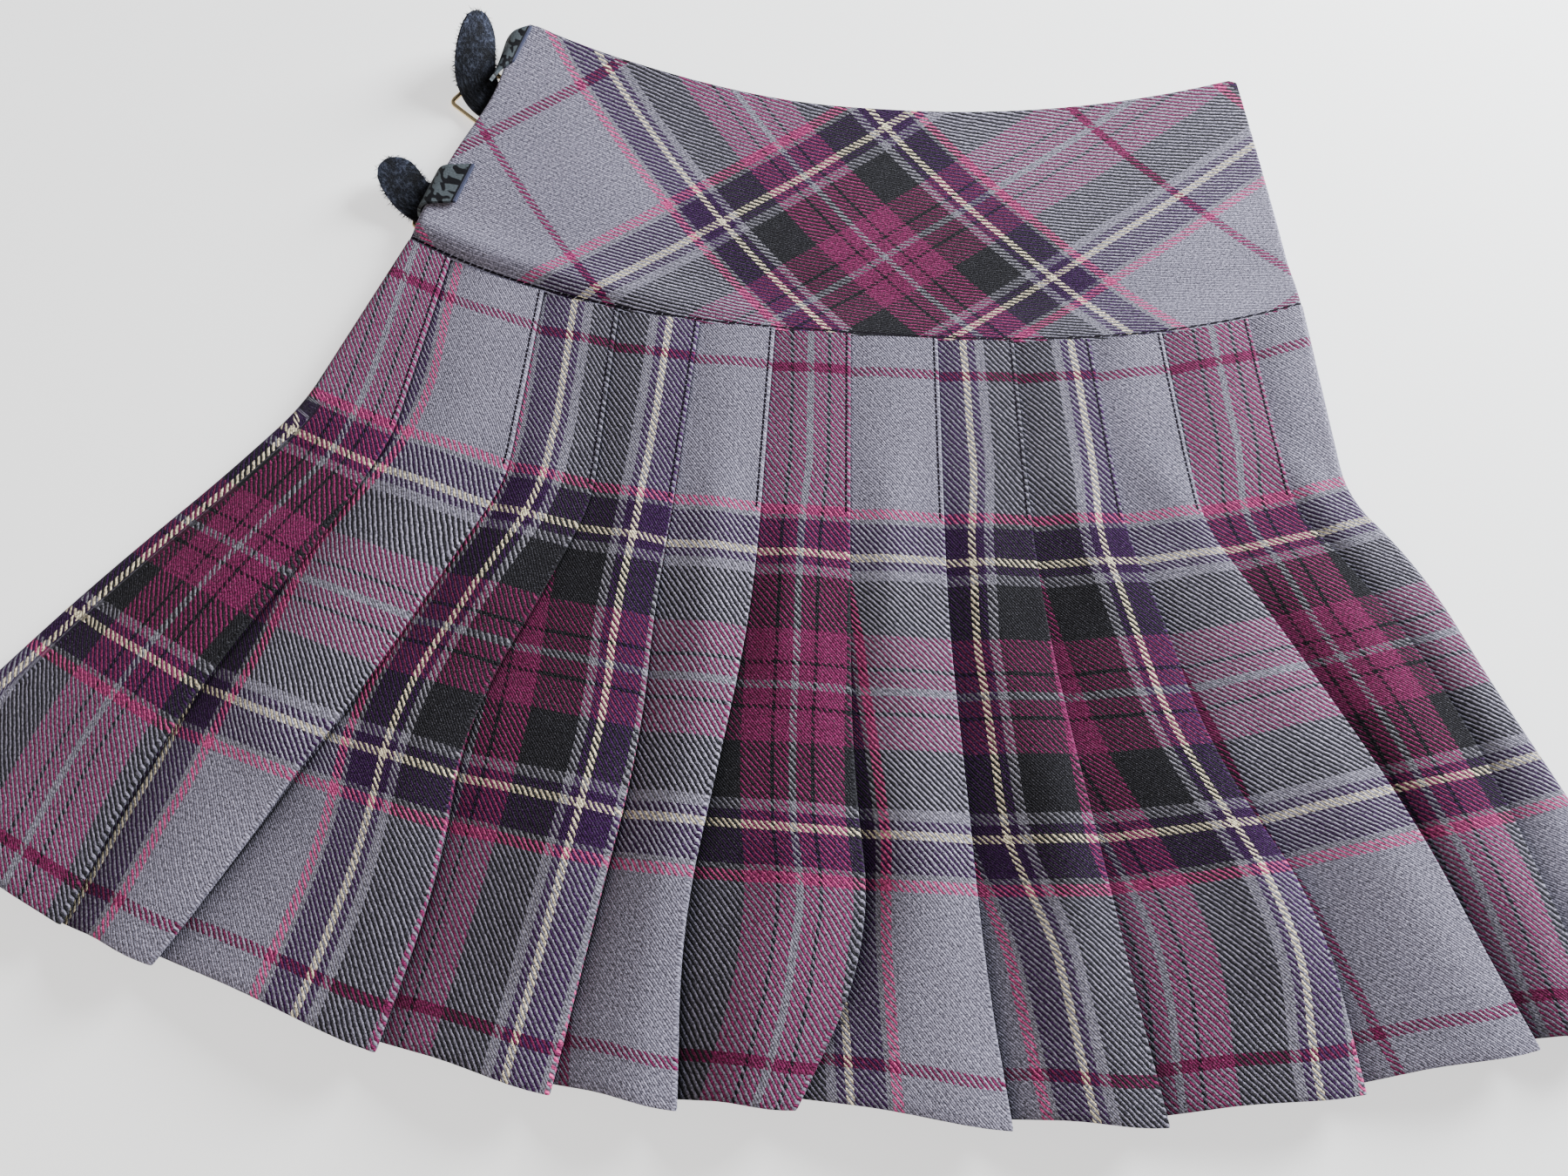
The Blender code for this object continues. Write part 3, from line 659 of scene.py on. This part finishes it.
def back_yoke_height(share, down):
    reach, fade = LIFTED_TO
    strapped = smooth((reach - share) / fade) * smooth((1.0 - down) / LIFTED_FADE)
    hip = smooth((down - YOKE_HIP_FROM) / YOKE_HIP_OVER)
    return LOWEST + YOKE_LIFT * strapped + (YOKE_HIP_BACK - LOWEST) * hip


def front_yoke_height(share, down):
    more = YOKE_HIP_FRONT - YOKE_HIP_BACK - YOKE_AIR
    air = YOKE_AIR + more * smooth(down / YOKE_AIR_REACH)
    return back_yoke_height(share, down) + air


def yoke_side_height(share, down):
    level = 0.5 * (back_yoke_height(share, down) + front_yoke_height(share, down))
    hip = smooth((down - YOKE_HIP_FROM) / YOKE_HIP_OVER)
    return level + (side_height(0.0) - level) * hip


def yoke_plan(share, down):
    top, bottom = waist_point(share), hip_point(share)
    point = top + (bottom - top) * down
    for corner, inward in ((CORNER_LEFT, share), (CORNER_RIGHT, 1.0 - share)):
        near = corner - inward * (WAIST_RIGHT[0] - WAIST_LEFT[0])
        if near > 0:
            cut = corner - math.sqrt(max(corner**2 - near**2, 0.0))
            point = point + np.array((0.0, -cut * (1.0 - down) ** CORNER_FADE))
    dent = DENT * math.exp(-(((down - DENT_AT) / DENT_SPREAD) ** 2))
    return point + np.array((dent * max(0.0, 1.0 - share / DENT_ACROSS) ** 2, 0.0))


def yoke_grid(front):
    """Middle surface of one yoke, waist first, with the cloth coordinates of its bias cut."""
    grid = []
    span = WAIST_RIGHT[0] - WAIST_LEFT[0]
    edge = SIDE_ROUND / span
    inner = np.linspace(edge, 1.0 - edge, YOKE_COLUMNS + 1)
    height = front_yoke_height if front else back_yoke_height
    gap = SEAM_GAP / 2 if front else -SEAM_GAP / 2
    for row in range(YOKE_ROWS + 1):
        down = row / YOKE_ROWS
        left = side_turn_points(height(edge, down), yoke_side_height(0.0, down) + gap)
        right = side_turn_points(height(1.0 - edge, down), yoke_side_height(1.0, down) + gap)
        points = [(*yoke_plan(inward / span, down), level) for inward, level in left[::-1]]
        points += [(*yoke_plan(share, down), height(share, down)) for share in inner]
        points += [(*yoke_plan(1.0 - inward / span, down), level) for inward, level in right]
        made = []
        for x, y, z in points:
            warp, weft = bias(x if front else -x - YOKE_BACK_SHIFT, y)
            made.append((x, y, z, warp, weft, YOKE_DEPTH * (1.0 - down)))
        grid.append(made)
    grid = np.array(grid)
    return grid if front else grid[:, ::-1]


def bias(x, y):
    """Warp and weft coordinate of the yoke's cloth at a plan point."""
    square = BIAS_UNIT**2
    terms = (x / BIAS_UNIT, y / BIAS_UNIT, 1.0, x * x / square, x * y / square, y * y / square)
    return float(np.dot(YOKE_WARP, terms)), float(np.dot(YOKE_WEFT, terms))


def normals(grid):
    along = np.gradient(grid, axis=0)
    across = np.gradient(grid, axis=1)
    found = np.cross(along, across)
    return found / np.linalg.norm(found, axis=2, keepdims=True)


def wall(grid, thickness):
    """Points and faces of a closed wall round a middle surface; one thickness, or one a row."""
    rows, columns = grid.shape[:2]
    half = np.broadcast_to(np.asarray(thickness, float) / 2, (rows,))[:, None, None]
    offset = normals(grid) * half
    points = np.concatenate(((grid + offset).reshape(-1, 3), (grid - offset).reshape(-1, 3)))
    inner = rows * columns
    faces = []
    for row in range(rows - 1):
        for column in range(columns - 1):
            a = row * columns + column
            b, c, d = a + columns, a + columns + 1, a + 1
            faces.append((a, b, c, d))
            faces.append((inner + a, inner + d, inner + c, inner + b))
    for row in range(rows - 1):
        a, b = row * columns, (row + 1) * columns
        faces.append((a, inner + a, inner + b, b))
        c, d = a + columns - 1, b + columns - 1
        faces.append((c, d, inner + d, inner + c))
    for column in range(columns - 1):
        a = column
        faces.append((a, a + 1, inner + a + 1, inner + a))
        c = (rows - 1) * columns + column
        faces.append((c, inner + c, inner + c + 1, c + 1))
    return points, faces


def edge_place(out, along, height):
    """A point beside the yoke's left edge: outwards from it, down along it, and its height."""
    run = np.array(HIP_LEFT) - np.array(WAIST_LEFT)
    run /= np.linalg.norm(run)
    x, y = np.array(WAIST_LEFT) + run * along + np.array((run[1], -run[0])) * out
    return np.array((x, y, height))


def catmull(values, at):
    """Smooth values between the given ones."""
    padded = np.concatenate(([2 * values[0] - values[1]], values, [2 * values[-1] - values[-2]]))
    index = np.minimum(at.astype(int), len(values) - 2)
    t = at - index
    a, b, c, d = (padded[index + k] for k in range(4))
    cubic = (3 * b - a - 3 * c + d) * t**3
    return 0.5 * (2 * b + (c - a) * t + (2 * a - 5 * b + 4 * c - d) * t**2 + cubic)


def between(stations):
    """Smooth stations between the given ones, and the place of each."""
    stations = np.array(stations)
    at = np.linspace(0, len(stations) - 1, (len(stations) - 1) * PATH_STEPS + 1)
    return at, np.stack([catmull(column, at) for column in stations.T], axis=1)


def strap_grid(stations):
    """Middle surface of a strap with its rounded tip."""
    _, path = between(stations)
    edge = np.array([edge_place(*row[:3]) for row in path])
    length = np.concatenate(([0.0], np.cumsum(np.linalg.norm(np.diff(edge, axis=0), axis=1))))
    tip = [length[-1] - STRAP_WIDTH / 2 * (1.0 - math.sin(math.radians(a))) for a in TIP_ANGLES]
    target = np.concatenate((length[length < tip[0] - 1.0], tip))
    half_widths = [STRAP_WIDTH / 2] * (len(target) - len(tip))
    half_widths += [STRAP_WIDTH / 2 * math.cos(math.radians(angle)) for angle in TIP_ANGLES]
    run = np.gradient(edge, axis=0)
    rows = []
    for place, half in zip(target, half_widths):
        point = np.array([np.interp(place, length, edge[:, axis]) for axis in range(3)])
        heading = np.array([np.interp(place, length, run[:, axis]) for axis in range(3)])
        roll = math.radians(np.interp(place, length, path[:, 3]))
        heading /= np.linalg.norm(heading)
        level = np.cross(heading, (0.0, 0.0, -1.0))
        level /= np.linalg.norm(level)
        side = level * math.cos(roll) + np.cross(heading, level) * math.sin(roll)
        middle = point + side * STRAP_WIDTH / 2
        shares = np.linspace(-1, 1, WALL_STEPS + 1)
        rows.append([(*(middle + side * half * share), place, half * share) for share in shares])
    return np.array(rows)


def tab_grid(stations):
    """Middle surface of a tab."""
    rows = []
    for place, edge in zip(*between(stations)):
        first, last = edge_place(*edge[:3]), edge_place(*edge[3:])
        rows.append([
            (*(first + (last - first) * share), place * TAB_STEP, share * TAB_WIDTH)
            for share in np.linspace(0, 1, WALL_STEPS + 1)
        ])
    return np.array(rows)


def rod(path, thickness, sides=16):
    """Points and faces of a round wire along a closed path."""
    path = np.array(path)
    count = len(path)
    run = np.roll(path, -1, axis=0) - np.roll(path, 1, axis=0)
    points, faces = [], []
    for point, heading in zip(path, run):
        heading = heading / np.linalg.norm(heading)
        flat = np.cross(heading, (0.0, 0.0, 1.0))
        flat /= np.linalg.norm(flat)
        up = np.cross(flat, heading)
        for side in range(sides):
            turn = 2 * math.pi * side / sides
            points.append(point + (flat * math.cos(turn) + up * math.sin(turn)) * thickness / 2)
    for ring in range(count):
        after = (ring + 1) % count
        for side in range(sides):
            beside = (side + 1) % sides
            a, b = ring * sides + side, ring * sides + beside
            c, d = after * sides + beside, after * sides + side
            faces.append((a, d, c, b))
    return points, faces


def frame_path(corners, steps=8):
    """A closed path with rounded corners."""
    corners = [edge_place(*corner) for corner in corners]
    path = []
    for index, corner in enumerate(corners):
        before, after = corners[index - 1], corners[(index + 1) % 4]
        start, end = (
            corner + (to - corner) * FRAME_CORNER / np.linalg.norm(to - corner)
            for to in (before, after)
        )
        for step in range(steps):
            share = step / (steps - 1)
            bend = (1 - share) ** 2 * start + 2 * share * (1 - share) * corner
            path.append(bend + share**2 * end)
    return path


def linear(colour):
    """Linear colour from one in steps of 0 to 255."""
    shares = [value / 255 for value in colour]
    return tuple(s / 12.92 if s <= 0.04045 else ((s + 0.055) / 1.055) ** 2.4 for s in shares)


def grey(value):
    return (value, value, value)


class Tree:
    """Short names for the nodes of one material."""

    def __init__(self, name):
        self.made = bpy.data.materials.new(name)
        self.made.use_nodes = True
        self.nodes = self.made.node_tree.nodes
        self.links = self.made.node_tree.links
        self.shader = self.nodes["Principled BSDF"]

    def put(self, socket, value):
        if isinstance(value, bpy.types.NodeSocket):
            self.links.new(value, socket)
        elif value is not None:
            socket.default_value = value

    def math(self, kind, a, b=None, c=None):
        node = self.nodes.new("ShaderNodeMath")
        node.operation = kind
        for socket, value in zip(node.inputs, (a, b, c)):
            self.put(socket, value)
        return node.outputs[0]

    def uv(self, name):
        node = self.nodes.new("ShaderNodeUVMap")
        node.uv_map = name
        split = self.nodes.new("ShaderNodeSeparateXYZ")
        self.links.new(node.outputs[0], split.inputs[0])
        return split.outputs[0], split.outputs[1], node.outputs[0]

    def join(self, x, y, z=0.0):
        node = self.nodes.new("ShaderNodeCombineXYZ")
        for socket, value in zip(node.inputs, (x, y, z)):
            self.put(socket, value)
        return node.outputs[0]

    def noise(self, vector, scale, detail=2.0, roughness=0.5):
        node = self.nodes.new("ShaderNodeTexNoise")
        self.put(node.inputs["Vector"], vector)
        node.inputs["Scale"].default_value = scale
        node.inputs["Detail"].default_value = detail
        node.inputs["Roughness"].default_value = roughness
        return node.outputs["Fac"]

    def ramp(self, value, stops, constant=False):
        node = self.nodes.new("ShaderNodeValToRGB")
        ramp = node.color_ramp
        ramp.interpolation = "CONSTANT" if constant else "LINEAR"
        while len(ramp.elements) < len(stops):
            ramp.elements.new(1.0)
        for element, (place, colour) in zip(ramp.elements, stops):
            element.position = place
            element.color = (*colour, 1.0)
        self.put(node.inputs[0], value)
        return node.outputs[0]

    def times(self, a, b):
        return self.mix(1.0, a, b, "MULTIPLY")

    def mix(self, share, a, b, kind="MIX"):
        node = self.nodes.new("ShaderNodeMix")
        node.data_type = "RGBA"
        node.blend_type = kind
        self.put(node.inputs[0], share)
        self.put(node.inputs[6], a if isinstance(a, bpy.types.NodeSocket) else (*a, 1.0))
        self.put(node.inputs[7], b if isinstance(b, bpy.types.NodeSocket) else (*b, 1.0))
        return node.outputs[2]

    def bump(self, height, distance, strength=1.0):
        node = self.nodes.new("ShaderNodeBump")
        node.inputs["Strength"].default_value = strength
        node.inputs["Distance"].default_value = distance
        self.put(node.inputs["Height"], height)
        self.links.new(node.outputs[0], self.shader.inputs["Normal"])

    def finish(self, colour, roughness, metallic=0.0, sheen=0.0, specular=0.5):
        self.put(self.shader.inputs["Base Color"], colour)
        self.put(self.shader.inputs["Roughness"], roughness)
        self.shader.inputs["Metallic"].default_value = metallic
        self.shader.inputs["Sheen Weight"].default_value = sheen
        self.shader.inputs["Sheen Roughness"].default_value = 0.6
        self.shader.inputs["Specular IOR Level"].default_value = specular
        return self.made


def sett(tree, coordinate, repeat):
    """Thread colour at a cloth coordinate in millimetres."""
    bounce = tree.math("PINGPONG", tree.math("ABSOLUTE", coordinate), repeat / 2)
    share = tree.math("DIVIDE", bounce, repeat / 2)
    full = WEFT_REPEAT / 2
    stops = [(start / full, linear(THREADS[name])) for start, name in SETT]
    return tree.ramp(share, stops, constant=True)


def stitching(tree, edge_mm, gate, along_mm):
    """1 on the dashes of the stitched line beside an edge."""
    near = tree.math("COMPARE", edge_mm, STITCH_AT, STITCH_HALF)
    near = tree.math("MULTIPLY", near, tree.math("GREATER_THAN", gate, 0.5))
    turn = tree.math("SINE", tree.math("MULTIPLY", along_mm, STITCH_TURN))
    return tree.math("MULTIPLY", near, tree.math("GREATER_THAN", turn, STITCH_GAP))


def tartan(name):
    """Twill of two thread colours with flecks and stitching, painted shade in the folds' hollows
    and between the ribs, and a painted shadow line beside each fold edge.
    """
    tree = Tree(name)
    warp_at, weft_at, cloth = tree.uv("cloth")
    edge_at, gate, _ = tree.uv("edge")
    painted_shade_at, shadow_line_distance, _ = tree.uv("depth")
    warp_mm = tree.math("MULTIPLY", warp_at, 1 / MM)
    weft_mm = tree.math("MULTIPLY", weft_at, 1 / MM)
    wander = tree.math("SUBTRACT", tree.noise(cloth, WANDER_SCALE), 0.5)
    warp_mm = tree.math("MULTIPLY_ADD", wander, WANDER, warp_mm)
    weft_mm = tree.math("MULTIPLY_ADD", wander, -WANDER, weft_mm)

    across = tree.math("MULTIPLY", warp_mm, RIB_SLOPE)
    diagonal = tree.math("DIVIDE", tree.math("SUBTRACT", across, weft_mm), RIB)
    stray = tree.math("SUBTRACT", tree.noise(cloth, STRAY_SCALE, 3.0, 0.6), 0.5)
    diagonal = tree.math("MULTIPLY_ADD", stray, RIB_STRAY, diagonal)
    wave = tree.math("SINE", tree.math("MULTIPLY", diagonal, 2 * math.pi))
    fibre = tree.noise(cloth, FIBRE_SCALE, 2.0, 0.7)
    rough_wave = tree.math("MULTIPLY_ADD", tree.math("SUBTRACT", fibre, 0.5), FIBRE, wave)
    clamp = tree.nodes.new("ShaderNodeClamp")
    tree.put(clamp.inputs[0], tree.math("MULTIPLY_ADD", rough_wave, RIB_EDGE, 0.5))
    weft = tree.times(sett(tree, weft_mm, WEFT_REPEAT), grey(WEFT_GAIN))
    warp = tree.times(sett(tree, warp_mm, WARP_REPEAT), grey(WARP_GAIN))
    colour = tree.mix(clamp.outputs[0], weft, warp)

    specks = [(0.38, grey(0.28)), (0.5, grey(0.95)), (0.62, grey(2.0))]
    colour = tree.times(colour, tree.ramp(tree.noise(cloth, SPECK_SCALE, 3.0, 0.85), specks))
    ridge = tree.math("ABSOLUTE", wave)
    # Painted shade in the grooves between the twill ribs, a little lighter on their crests.
    colour = tree.times(colour, tree.ramp(ridge, [(0.0, grey(0.6)), (0.7, grey(1.07))]))
    pale = tree.noise(cloth, PALE_SCALE, 2.0, 0.9)
    pale = tree.ramp(pale, [(0.56, grey(0.0)), (0.74, grey(0.36))])
    colour = tree.mix(pale, colour, linear(PALE_FIBRE))
    patch = tree.noise(cloth, PATCH_SCALE, 3.0)
    colour = tree.times(colour, tree.ramp(patch, [(0.3, grey(0.9)), (0.7, grey(1.08))]))

    # Painted shade: the cloth is darkened in the hollow under each fold.
    left = tree.math("MULTIPLY_ADD", painted_shade_at, -PAINTED_SHADE_STRENGTH, 1.0)
    shade = tree.nodes.new("ShaderNodeCombineColor")
    for socket in shade.inputs[:3]:
        tree.put(socket, left)
    colour = tree.times(colour, shade.outputs[0])
    # Painted shadow line beside each fold edge.
    beside = tree.math("MULTIPLY", shadow_line_distance, 1 / MM / PAINTED_SHADOW_LINE)
    colour = tree.times(colour, tree.ramp(beside, [(0.1, grey(0.22)), (0.5, grey(1.0))]))
    stitched = stitching(tree, tree.math("MULTIPLY", edge_at, 1 / MM), gate, weft_mm)
    colour = tree.mix(stitched, colour, linear(STITCHING))

    height = tree.math("MULTIPLY_ADD", ridge, 0.6, fibre)
    tree.bump(tree.math("SUBTRACT", height, stitched), 0.0004, 0.9)
    return tree.finish(colour, 0.95, sheen=0.02, specular=0.12)


def suede():
    """Near-black nap in brushed patches, darker towards the root and paler and bluer towards the
    tip.
    """
    tree = Tree("suede")
    along, _, flat = tree.uv("cloth")
    nap = tree.noise(flat, 620.0, 4.0, 0.85)
    dark, middle, pale = (0.001, 0.001, 0.002), (0.009, 0.01, 0.015), (0.065, 0.07, 0.09)
    colour = tree.ramp(nap, [(0.36, dark), (0.5, middle), (0.66, pale)])
    brushed = tree.ramp(tree.noise(flat, 130.0), [(0.35, grey(0.5)), (0.65, (1.9, 2.0, 2.2))])
    colour = tree.times(colour, brushed)
    # Darker towards the root and paler, bluer towards the tip.
    tip = tree.math("MULTIPLY", along, 8.0)
    colour = tree.times(colour, tree.ramp(tip, [(0.5, grey(0.4)), (0.85, (1.4, 1.45, 1.6))]))
    tree.bump(nap, 0.0016)
    return tree.finish(colour, 1.0, sheen=0.04, specular=0.1)


def printed():
    """Grey leather with black brush marks, a pale cut edge and black stitching beside it."""
    tree = Tree("printed_leather")
    along, across, flat = tree.uv("cloth")
    edge_at, _, _ = tree.uv("edge")
    lean = tree.math("MULTIPLY", tree.math("SUBTRACT", along, across), 0.4)
    turned = tree.join(tree.math("ADD", along, across), lean)
    blots = tree.noise(turned, 210.0, 1.0)
    marks = tree.ramp(blots, [(0.51, (0.075, 0.09, 0.1)), (0.54, (0.004, 0.004, 0.006))])
    grain = tree.noise(flat, 1200.0)
    colour = tree.times(marks, tree.ramp(grain, [(0.3, grey(0.7)), (0.7, grey(1.25))]))
    edge_mm = tree.math("MULTIPLY", edge_at, 1 / MM)
    rim = tree.math("DIVIDE", edge_mm, 4.0)
    rim = tree.ramp(rim, [(0.0, grey(1.0)), (0.28, grey(0.0))], constant=True)
    colour = tree.mix(rim, colour, (0.05, 0.055, 0.095))
    near = tree.math("COMPARE", edge_mm, STITCH_AT, STITCH_HALF)
    colour = tree.mix(near, colour, (0.006, 0.006, 0.008))
    tree.bump(grain, 0.0003, 0.6)
    return tree.finish(colour, 0.6, specular=0.25)


def brass():
    """Worn brass, scuffed in its gloss."""
    tree = Tree("brass")
    _, _, flat = tree.uv("cloth")
    rough = tree.math("MULTIPLY_ADD", tree.noise(flat, 400.0, 3.0), 0.2, 0.18)
    return tree.finish((0.78, 0.6, 0.34, 1.0), rough, metallic=1.0)


def add_piece(name, points, faces, look, cloth, edge=None, depth=None):
    """A mesh, with its cloth coordinates, edge distance and painted fold shade as UV maps."""
    mesh = bpy.data.meshes.new(name)
    moved = (np.asarray(points) - np.array((MIDDLE_X, MIDDLE_Y, 0.0))) * MM
    mesh.from_pydata(moved.tolist(), [], faces)
    mesh.shade_smooth()
    mesh.set_sharp_from_angle(angle=SHARP)
    corners = np.empty(len(mesh.loops), np.int32)
    mesh.loops.foreach_get("vertex_index", corners)
    for layer_name, values in (("cloth", cloth), ("edge", edge), ("depth", depth)):
        if values is None:
            continue
        layer = mesh.uv_layers.new(name=layer_name)
        layer.data.foreach_set("uv", (np.asarray(values)[corners]).astype(np.float32).ravel())
    mesh.materials.append(look)
    return into_scene(name, mesh)


def area_of(grid):
    """Square metres of a middle surface."""
    a, b, c, d = grid[:-1, :-1], grid[1:, :-1], grid[1:, 1:], grid[:-1, 1:]
    first = np.linalg.norm(np.cross(b - a, c - a), axis=2)
    second = np.linalg.norm(np.cross(c - a, d - a), axis=2)
    return float((first + second).sum() / 2) * MM**2


def cloth_piece(name, grid, thickness, look, maps):
    """A closed wall of cloth with its maps cloth, edge and depth (painted fold shade), and the
    cloth's area.
    """
    points, faces = wall(grid[:, :, :3], thickness)
    values = [np.tile(np.stack(pair, axis=2).reshape(-1, 2), (2, 1)) for pair in maps]
    return add_piece(name, points, faces, look, *values), area_of(grid[:, :, :3])


def skirt_piece(name, mirrored, look):
    """One pleated half and its cloth's area."""
    rows = np.linspace(0.0, STRIP, round(STRIP / ROW_STEP) + 1).tolist()
    rows = sorted(set(rows) | {STRIP - HEM_DEPTH, STRIP - HEM_DEPTH + 1.0, STRIP - 1.0})
    grid = half_grid(rows, mirrored)
    thick = [HEM_WALL if down > STRIP - HEM_DEPTH + 0.5 else WALL for down in rows]
    thick[-1] = HEM_END
    downs = np.broadcast_to(np.array(rows)[:, None], grid.shape[:2])
    maps = (
        (grid[:, :, 3] * MM, (downs - PURPLE_DOWN) * MM),
        (grid[:, :, 4] * MM, np.where(downs < STITCHED, 1.0, 0.0)),
        # The depth map: painted shade in the fold hollows, and the distance for the painted
        # shadow line.
        (grid[:, :, 5], grid[:, :, 6] * MM),
    )
    return cloth_piece(name, grid, thick, look, maps)


def yoke_piece(name, front, look):
    """One yoke and its cloth's area."""
    grid = yoke_grid(front)
    ones = np.ones(grid.shape[:2])
    maps = (
        (grid[:, :, 3] * MM, grid[:, :, 4] * MM),
        (grid[:, :, 5] * MM, ones),
        # No painted shade and no painted shadow line on the yokes.
        (0.0 * ones, FAR * MM * ones),
    )
    return cloth_piece(name, grid, WALL, look, maps)


def leather_piece(name, grid, look, hairs=()):
    """A tab, or a strap with its loose fibres."""
    points, faces = wall(grid[:, :, :3], LEATHER)
    cloth = np.tile(grid[:, :, 3:5].reshape(-1, 2) * MM, (2, 1))
    steps = np.linalg.norm(np.diff(grid[:, :, :3], axis=0), axis=2)
    left = np.concatenate((np.zeros((1, grid.shape[1])), np.cumsum(steps, axis=0)))
    edge = np.tile(np.stack((left * MM, np.ones(left.shape)), axis=2).reshape(-1, 2), (2, 1))
    for root, tip, place in hairs:
        start = len(points)
        points = np.concatenate((points, hair_points(root, tip)))
        faces.append((start, start + 2, start + 1))
        faces += [(start + a, start + b, start + 3) for a, b in ((0, 1), (1, 2), (2, 0))]
        cloth = np.concatenate((cloth, np.tile(place * MM, (4, 1))))
        edge = np.concatenate((edge, np.ones((4, 2))))
    return add_piece(name, points, faces, look, cloth, edge)


def hair_points(root, tip):
    """A thin closed spike: three corners round the root, then the tip."""
    run = (tip - root) / np.linalg.norm(tip - root)
    side = np.cross(run, (0.3, 0.2, 0.9))
    side /= np.linalg.norm(side)
    up = np.cross(run, side)
    turns = (0.0, 2 * math.pi / 3, 4 * math.pi / 3)
    corners = [root + (side * math.cos(t) + up * math.sin(t)) * HAIR_WIDTH / 2 for t in turns]
    return np.array([*corners, tip])


def fuzz(grid, first_row, random):
    """Loose fibres round a tail: (root, tip, cloth place) for each."""
    found = []
    rim = [(row, column) for row in range(first_row, len(grid)) for column in (0, -1)]
    rim += [(-1, column) for column in range(grid.shape[1])]
    middle = grid[(first_row + len(grid)) // 2, grid.shape[1] // 2, :3]
    for row, column in rim:
        for _ in range(HAIRS_PER_POINT):
            start = grid[row, column]
            inner = grid[row, 1 if column == 0 else -2 if column == -1 else column, :3]
            if row == -1:
                inner = grid[-2, column, :3]
            out = start[:3] - inner
            out = out / max(np.linalg.norm(out), 1e-6) + random.normal(0.0, HAIR_SPREAD, 3)
            out /= np.linalg.norm(out)
            away = (start[:3] - middle) * random.uniform(-ROOT_INWARD, 0.0)
            root = start[:3] + away + random.normal(0.0, ROOT_SPREAD, 3)
            tip = root + out * random.uniform(*HAIR_LENGTH)
            tip[2] = max(tip[2], LOWEST_TIP)
            found.append((root, tip, start[3:5]))
    return found


def floor():
    """A plain pale floor."""
    mesh = bpy.data.meshes.new("floor")
    turns = ((-1, -1), (1, -1), (1, 1), (-1, 1))
    corners = [(x * FLOOR_HALF, y * FLOOR_HALF, FLOOR_Z) for x, y in turns]
    mesh.from_pydata(corners, [], [(0, 1, 2, 3)])
    tree = Tree("floor")
    tree.shader.inputs["Emission Color"].default_value = FLOOR_GLOW
    tree.shader.inputs["Emission Strength"].default_value = 1.0
    mesh.materials.append(tree.finish(FLOOR_COLOUR, 0.9, specular=0.1))
    return into_scene("floor", mesh)


def into_scene(name, data):
    """An object of these data in the scene."""
    made = bpy.data.objects.new(name, data)
    bpy.context.scene.collection.objects.link(made)
    return made


def area_light(name, where, size, power, colour):
    """A soft light that looks at the part's origin."""
    light = bpy.data.lights.new(name, "AREA")
    light.size = size
    light.energy = power
    light.color = colour
    made = into_scene(name, light)
    made.location = where
    made.rotation_euler = (-Vector(where)).to_track_quat("-Z", "Y").to_euler()


def studio():
    """Floor, lights, world and the photograph's camera."""
    floor()
    for light in LIGHTS:
        area_light(*light)
    world = bpy.data.worlds.new("soft")
    bpy.context.scene.world = world
    world.use_nodes = True
    world.node_tree.nodes["Background"].inputs[0].default_value = WORLD_COLOUR
    world.node_tree.nodes["Background"].inputs[1].default_value = WORLD_STRENGTH
    camera = bpy.data.cameras.new("camera")
    camera.lens = LENS
    camera.sensor_width = SENSOR
    made = into_scene("camera", camera)
    made.location = ((CAMERA_X - MIDDLE_X) * MM, (CAMERA_Y - MIDDLE_Y) * MM, CAMERA_HEIGHT)
    made.rotation_euler = (math.radians(CAMERA_TILT), 0.0, math.radians(CAMERA_TURN))
    bpy.context.scene.camera = made


def dress(piece, node):
    """The piece stands for its CAD node, which it hides, and rides on the one body."""
    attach(piece, "root")
    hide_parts(node)


def main():
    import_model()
    cloth = tartan("tartan")
    front, front_area = skirt_piece("front_pleats", False, cloth)
    back, back_area = skirt_piece("back_pleats", True, cloth)
    front_hip, front_hip_area = yoke_piece("front_hip", True, cloth)
    back_hip, back_hip_area = yoke_piece("back_hip", False, cloth)
    dress(front, "front_skirt")
    dress(back, "back_skirt")
    dress(front_hip, "front_yoke")
    dress(back_hip, "back_yoke")
    rough, print_look, metal = suede(), printed(), brass()
    for name, stations in TABS.items():
        made = leather_piece(f"leather_{name}", tab_grid(stations), print_look)
        dress(made, f"tab_{name}")
    for name, stations in STRAPS.items():
        grid = strap_grid(stations)
        hairs = fuzz(grid, len(grid) // 2, np.random.default_rng(HAIR_SEED))
        made = leather_piece(f"suede_{name}", grid, rough, hairs)
        dress(made, f"strap_{name}")
    for name, corners in FRAMES.items():
        points, faces = rod(frame_path(corners), BRASS_WIRE)
        flat = np.asarray(points)[:, :2] * MM
        made = add_piece(f"wire_{name}", points, faces, metal, flat)
        dress(made, f"buckle_{name}")
    studio()


main()
